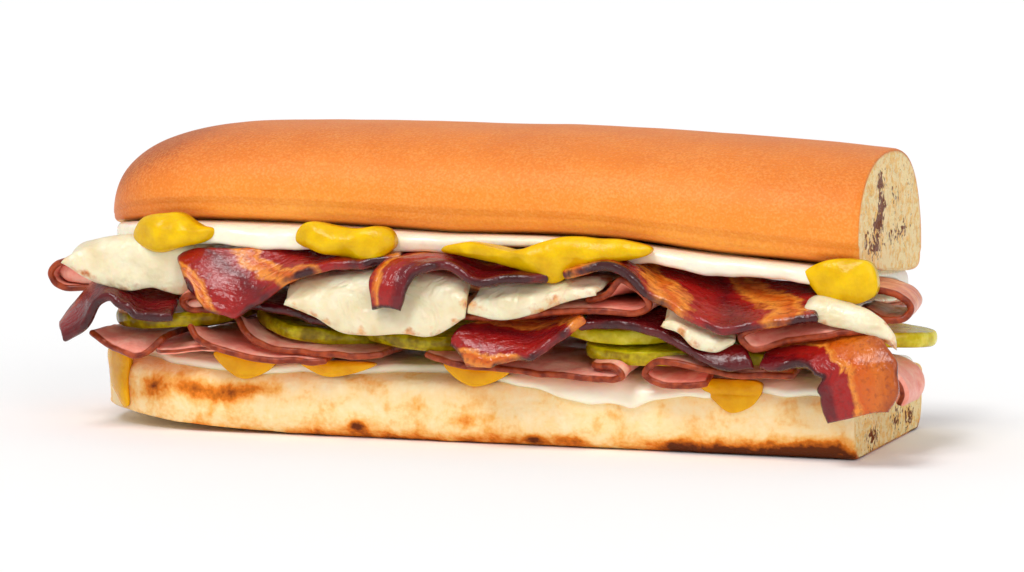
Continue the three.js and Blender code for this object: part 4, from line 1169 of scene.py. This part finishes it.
# height grows up from the lower edge, whose pale low values are partly painted light against the shade of the
# tuck; its share towards the round end is painted shade, darkening the end that falls in shade.
height = between(z - base, 0.0, 22.0) * 0.48 + 0.55 * between(x, -46, -100)
inside = np.maximum(between(core, 0.015, 0.04), between(z - base, 0.5, 0.2))
values = {"height": height, "inside": inside, "char": spots(y, z, TOP_CHAR) * (core > 0.02)}
points = ring_points(np.concatenate([rings, np.stack(list(values.values()), axis=-1)], axis=-1))
values = dict(zip(values, points[:, 3:].T))
add_piece("top_bun", points[:, :3], *ring_faces(*rings.shape[:2]), values, golden_crust(), "crust")

# Studio: a wide pale floor, a bright even room, two large soft lamps and a small one for the wet glints.
# The camera stands a metre off, a little above the table, turned towards the cut end.
FLOOR_SIZE = 60.0
FLOOR_GAP = 0.0002
ROOM_LIGHT = 0.57
floor_mesh = bpy.data.meshes.new("floor")
corner = FLOOR_SIZE / 2
floor_mesh.from_pydata(
    [(-corner, -corner, 0), (corner, -corner, 0), (corner, corner, 0), (-corner, corner, 0)],
    [], [(0, 1, 2, 3)],
)
floor = bpy.data.objects.new("floor", floor_mesh)
floor.location.z = CAD_BOX[0][2] - FLOOR_GAP
bpy.context.collection.objects.link(floor)
FLOOR_WHITE = (0.99, 0.99, 0.99, 1.0)
floor_finish = new_finish("pale_floor", Roughness=0.7, Base_Color=FLOOR_WHITE)[0]
floor_mesh.materials.append(floor_finish)

scene = bpy.context.scene
scene.view_settings.view_transform = "Standard"
room = bpy.data.worlds.new("studio")
room.use_nodes = True
room.node_tree.nodes["Background"].inputs["Color"].default_value = (1.0, 1.0, 1.0, 1.0)
room.node_tree.nodes["Background"].inputs["Strength"].default_value = ROOM_LIGHT
scene.world = room


def soft_sun(name, azimuth, elevation, strength, width):
    """A soft lamp far off, from an azimuth that is 0 at the front and grows to the right and an elevation,
    as wide in degrees as a large lamp screen."""
    lamp = bpy.data.lights.new(name, "SUN")
    lamp.energy = strength
    lamp.angle = math.radians(width)
    stand = bpy.data.objects.new(name, lamp)
    stand.rotation_euler = (math.radians(90 - elevation), 0, math.radians(azimuth))
    bpy.context.collection.objects.link(stand)


soft_sun("key_lamp", -18, 60, 1.2, 24)
soft_sun("fill_lamp", 44, 24, 0.6, 30)
soft_sun("glint_lamp", -8, 48, 0.4, 8)

CAMERA_AZIMUTH = math.radians(19.0)
CAMERA_ELEVATION = math.radians(5.5)
CAMERA_DISTANCE = 1.0
CAMERA_AIM = (0.0064, 0.0, 0.0345)
camera = bpy.data.objects.new("camera", bpy.data.cameras.new("camera"))
camera.data.sensor_width = 36.0
camera.data.lens = 145.0
flat = math.cos(CAMERA_ELEVATION) * CAMERA_DISTANCE
camera.location = (
    CAMERA_AIM[0] + math.sin(CAMERA_AZIMUTH) * flat,
    CAMERA_AIM[1] - math.cos(CAMERA_AZIMUTH) * flat,
    CAMERA_AIM[2] + math.sin(CAMERA_ELEVATION) * CAMERA_DISTANCE,
)
camera.rotation_euler = (math.pi / 2 - CAMERA_ELEVATION, 0, CAMERA_AZIMUTH)
bpy.context.collection.objects.link(camera)
scene.camera = camera
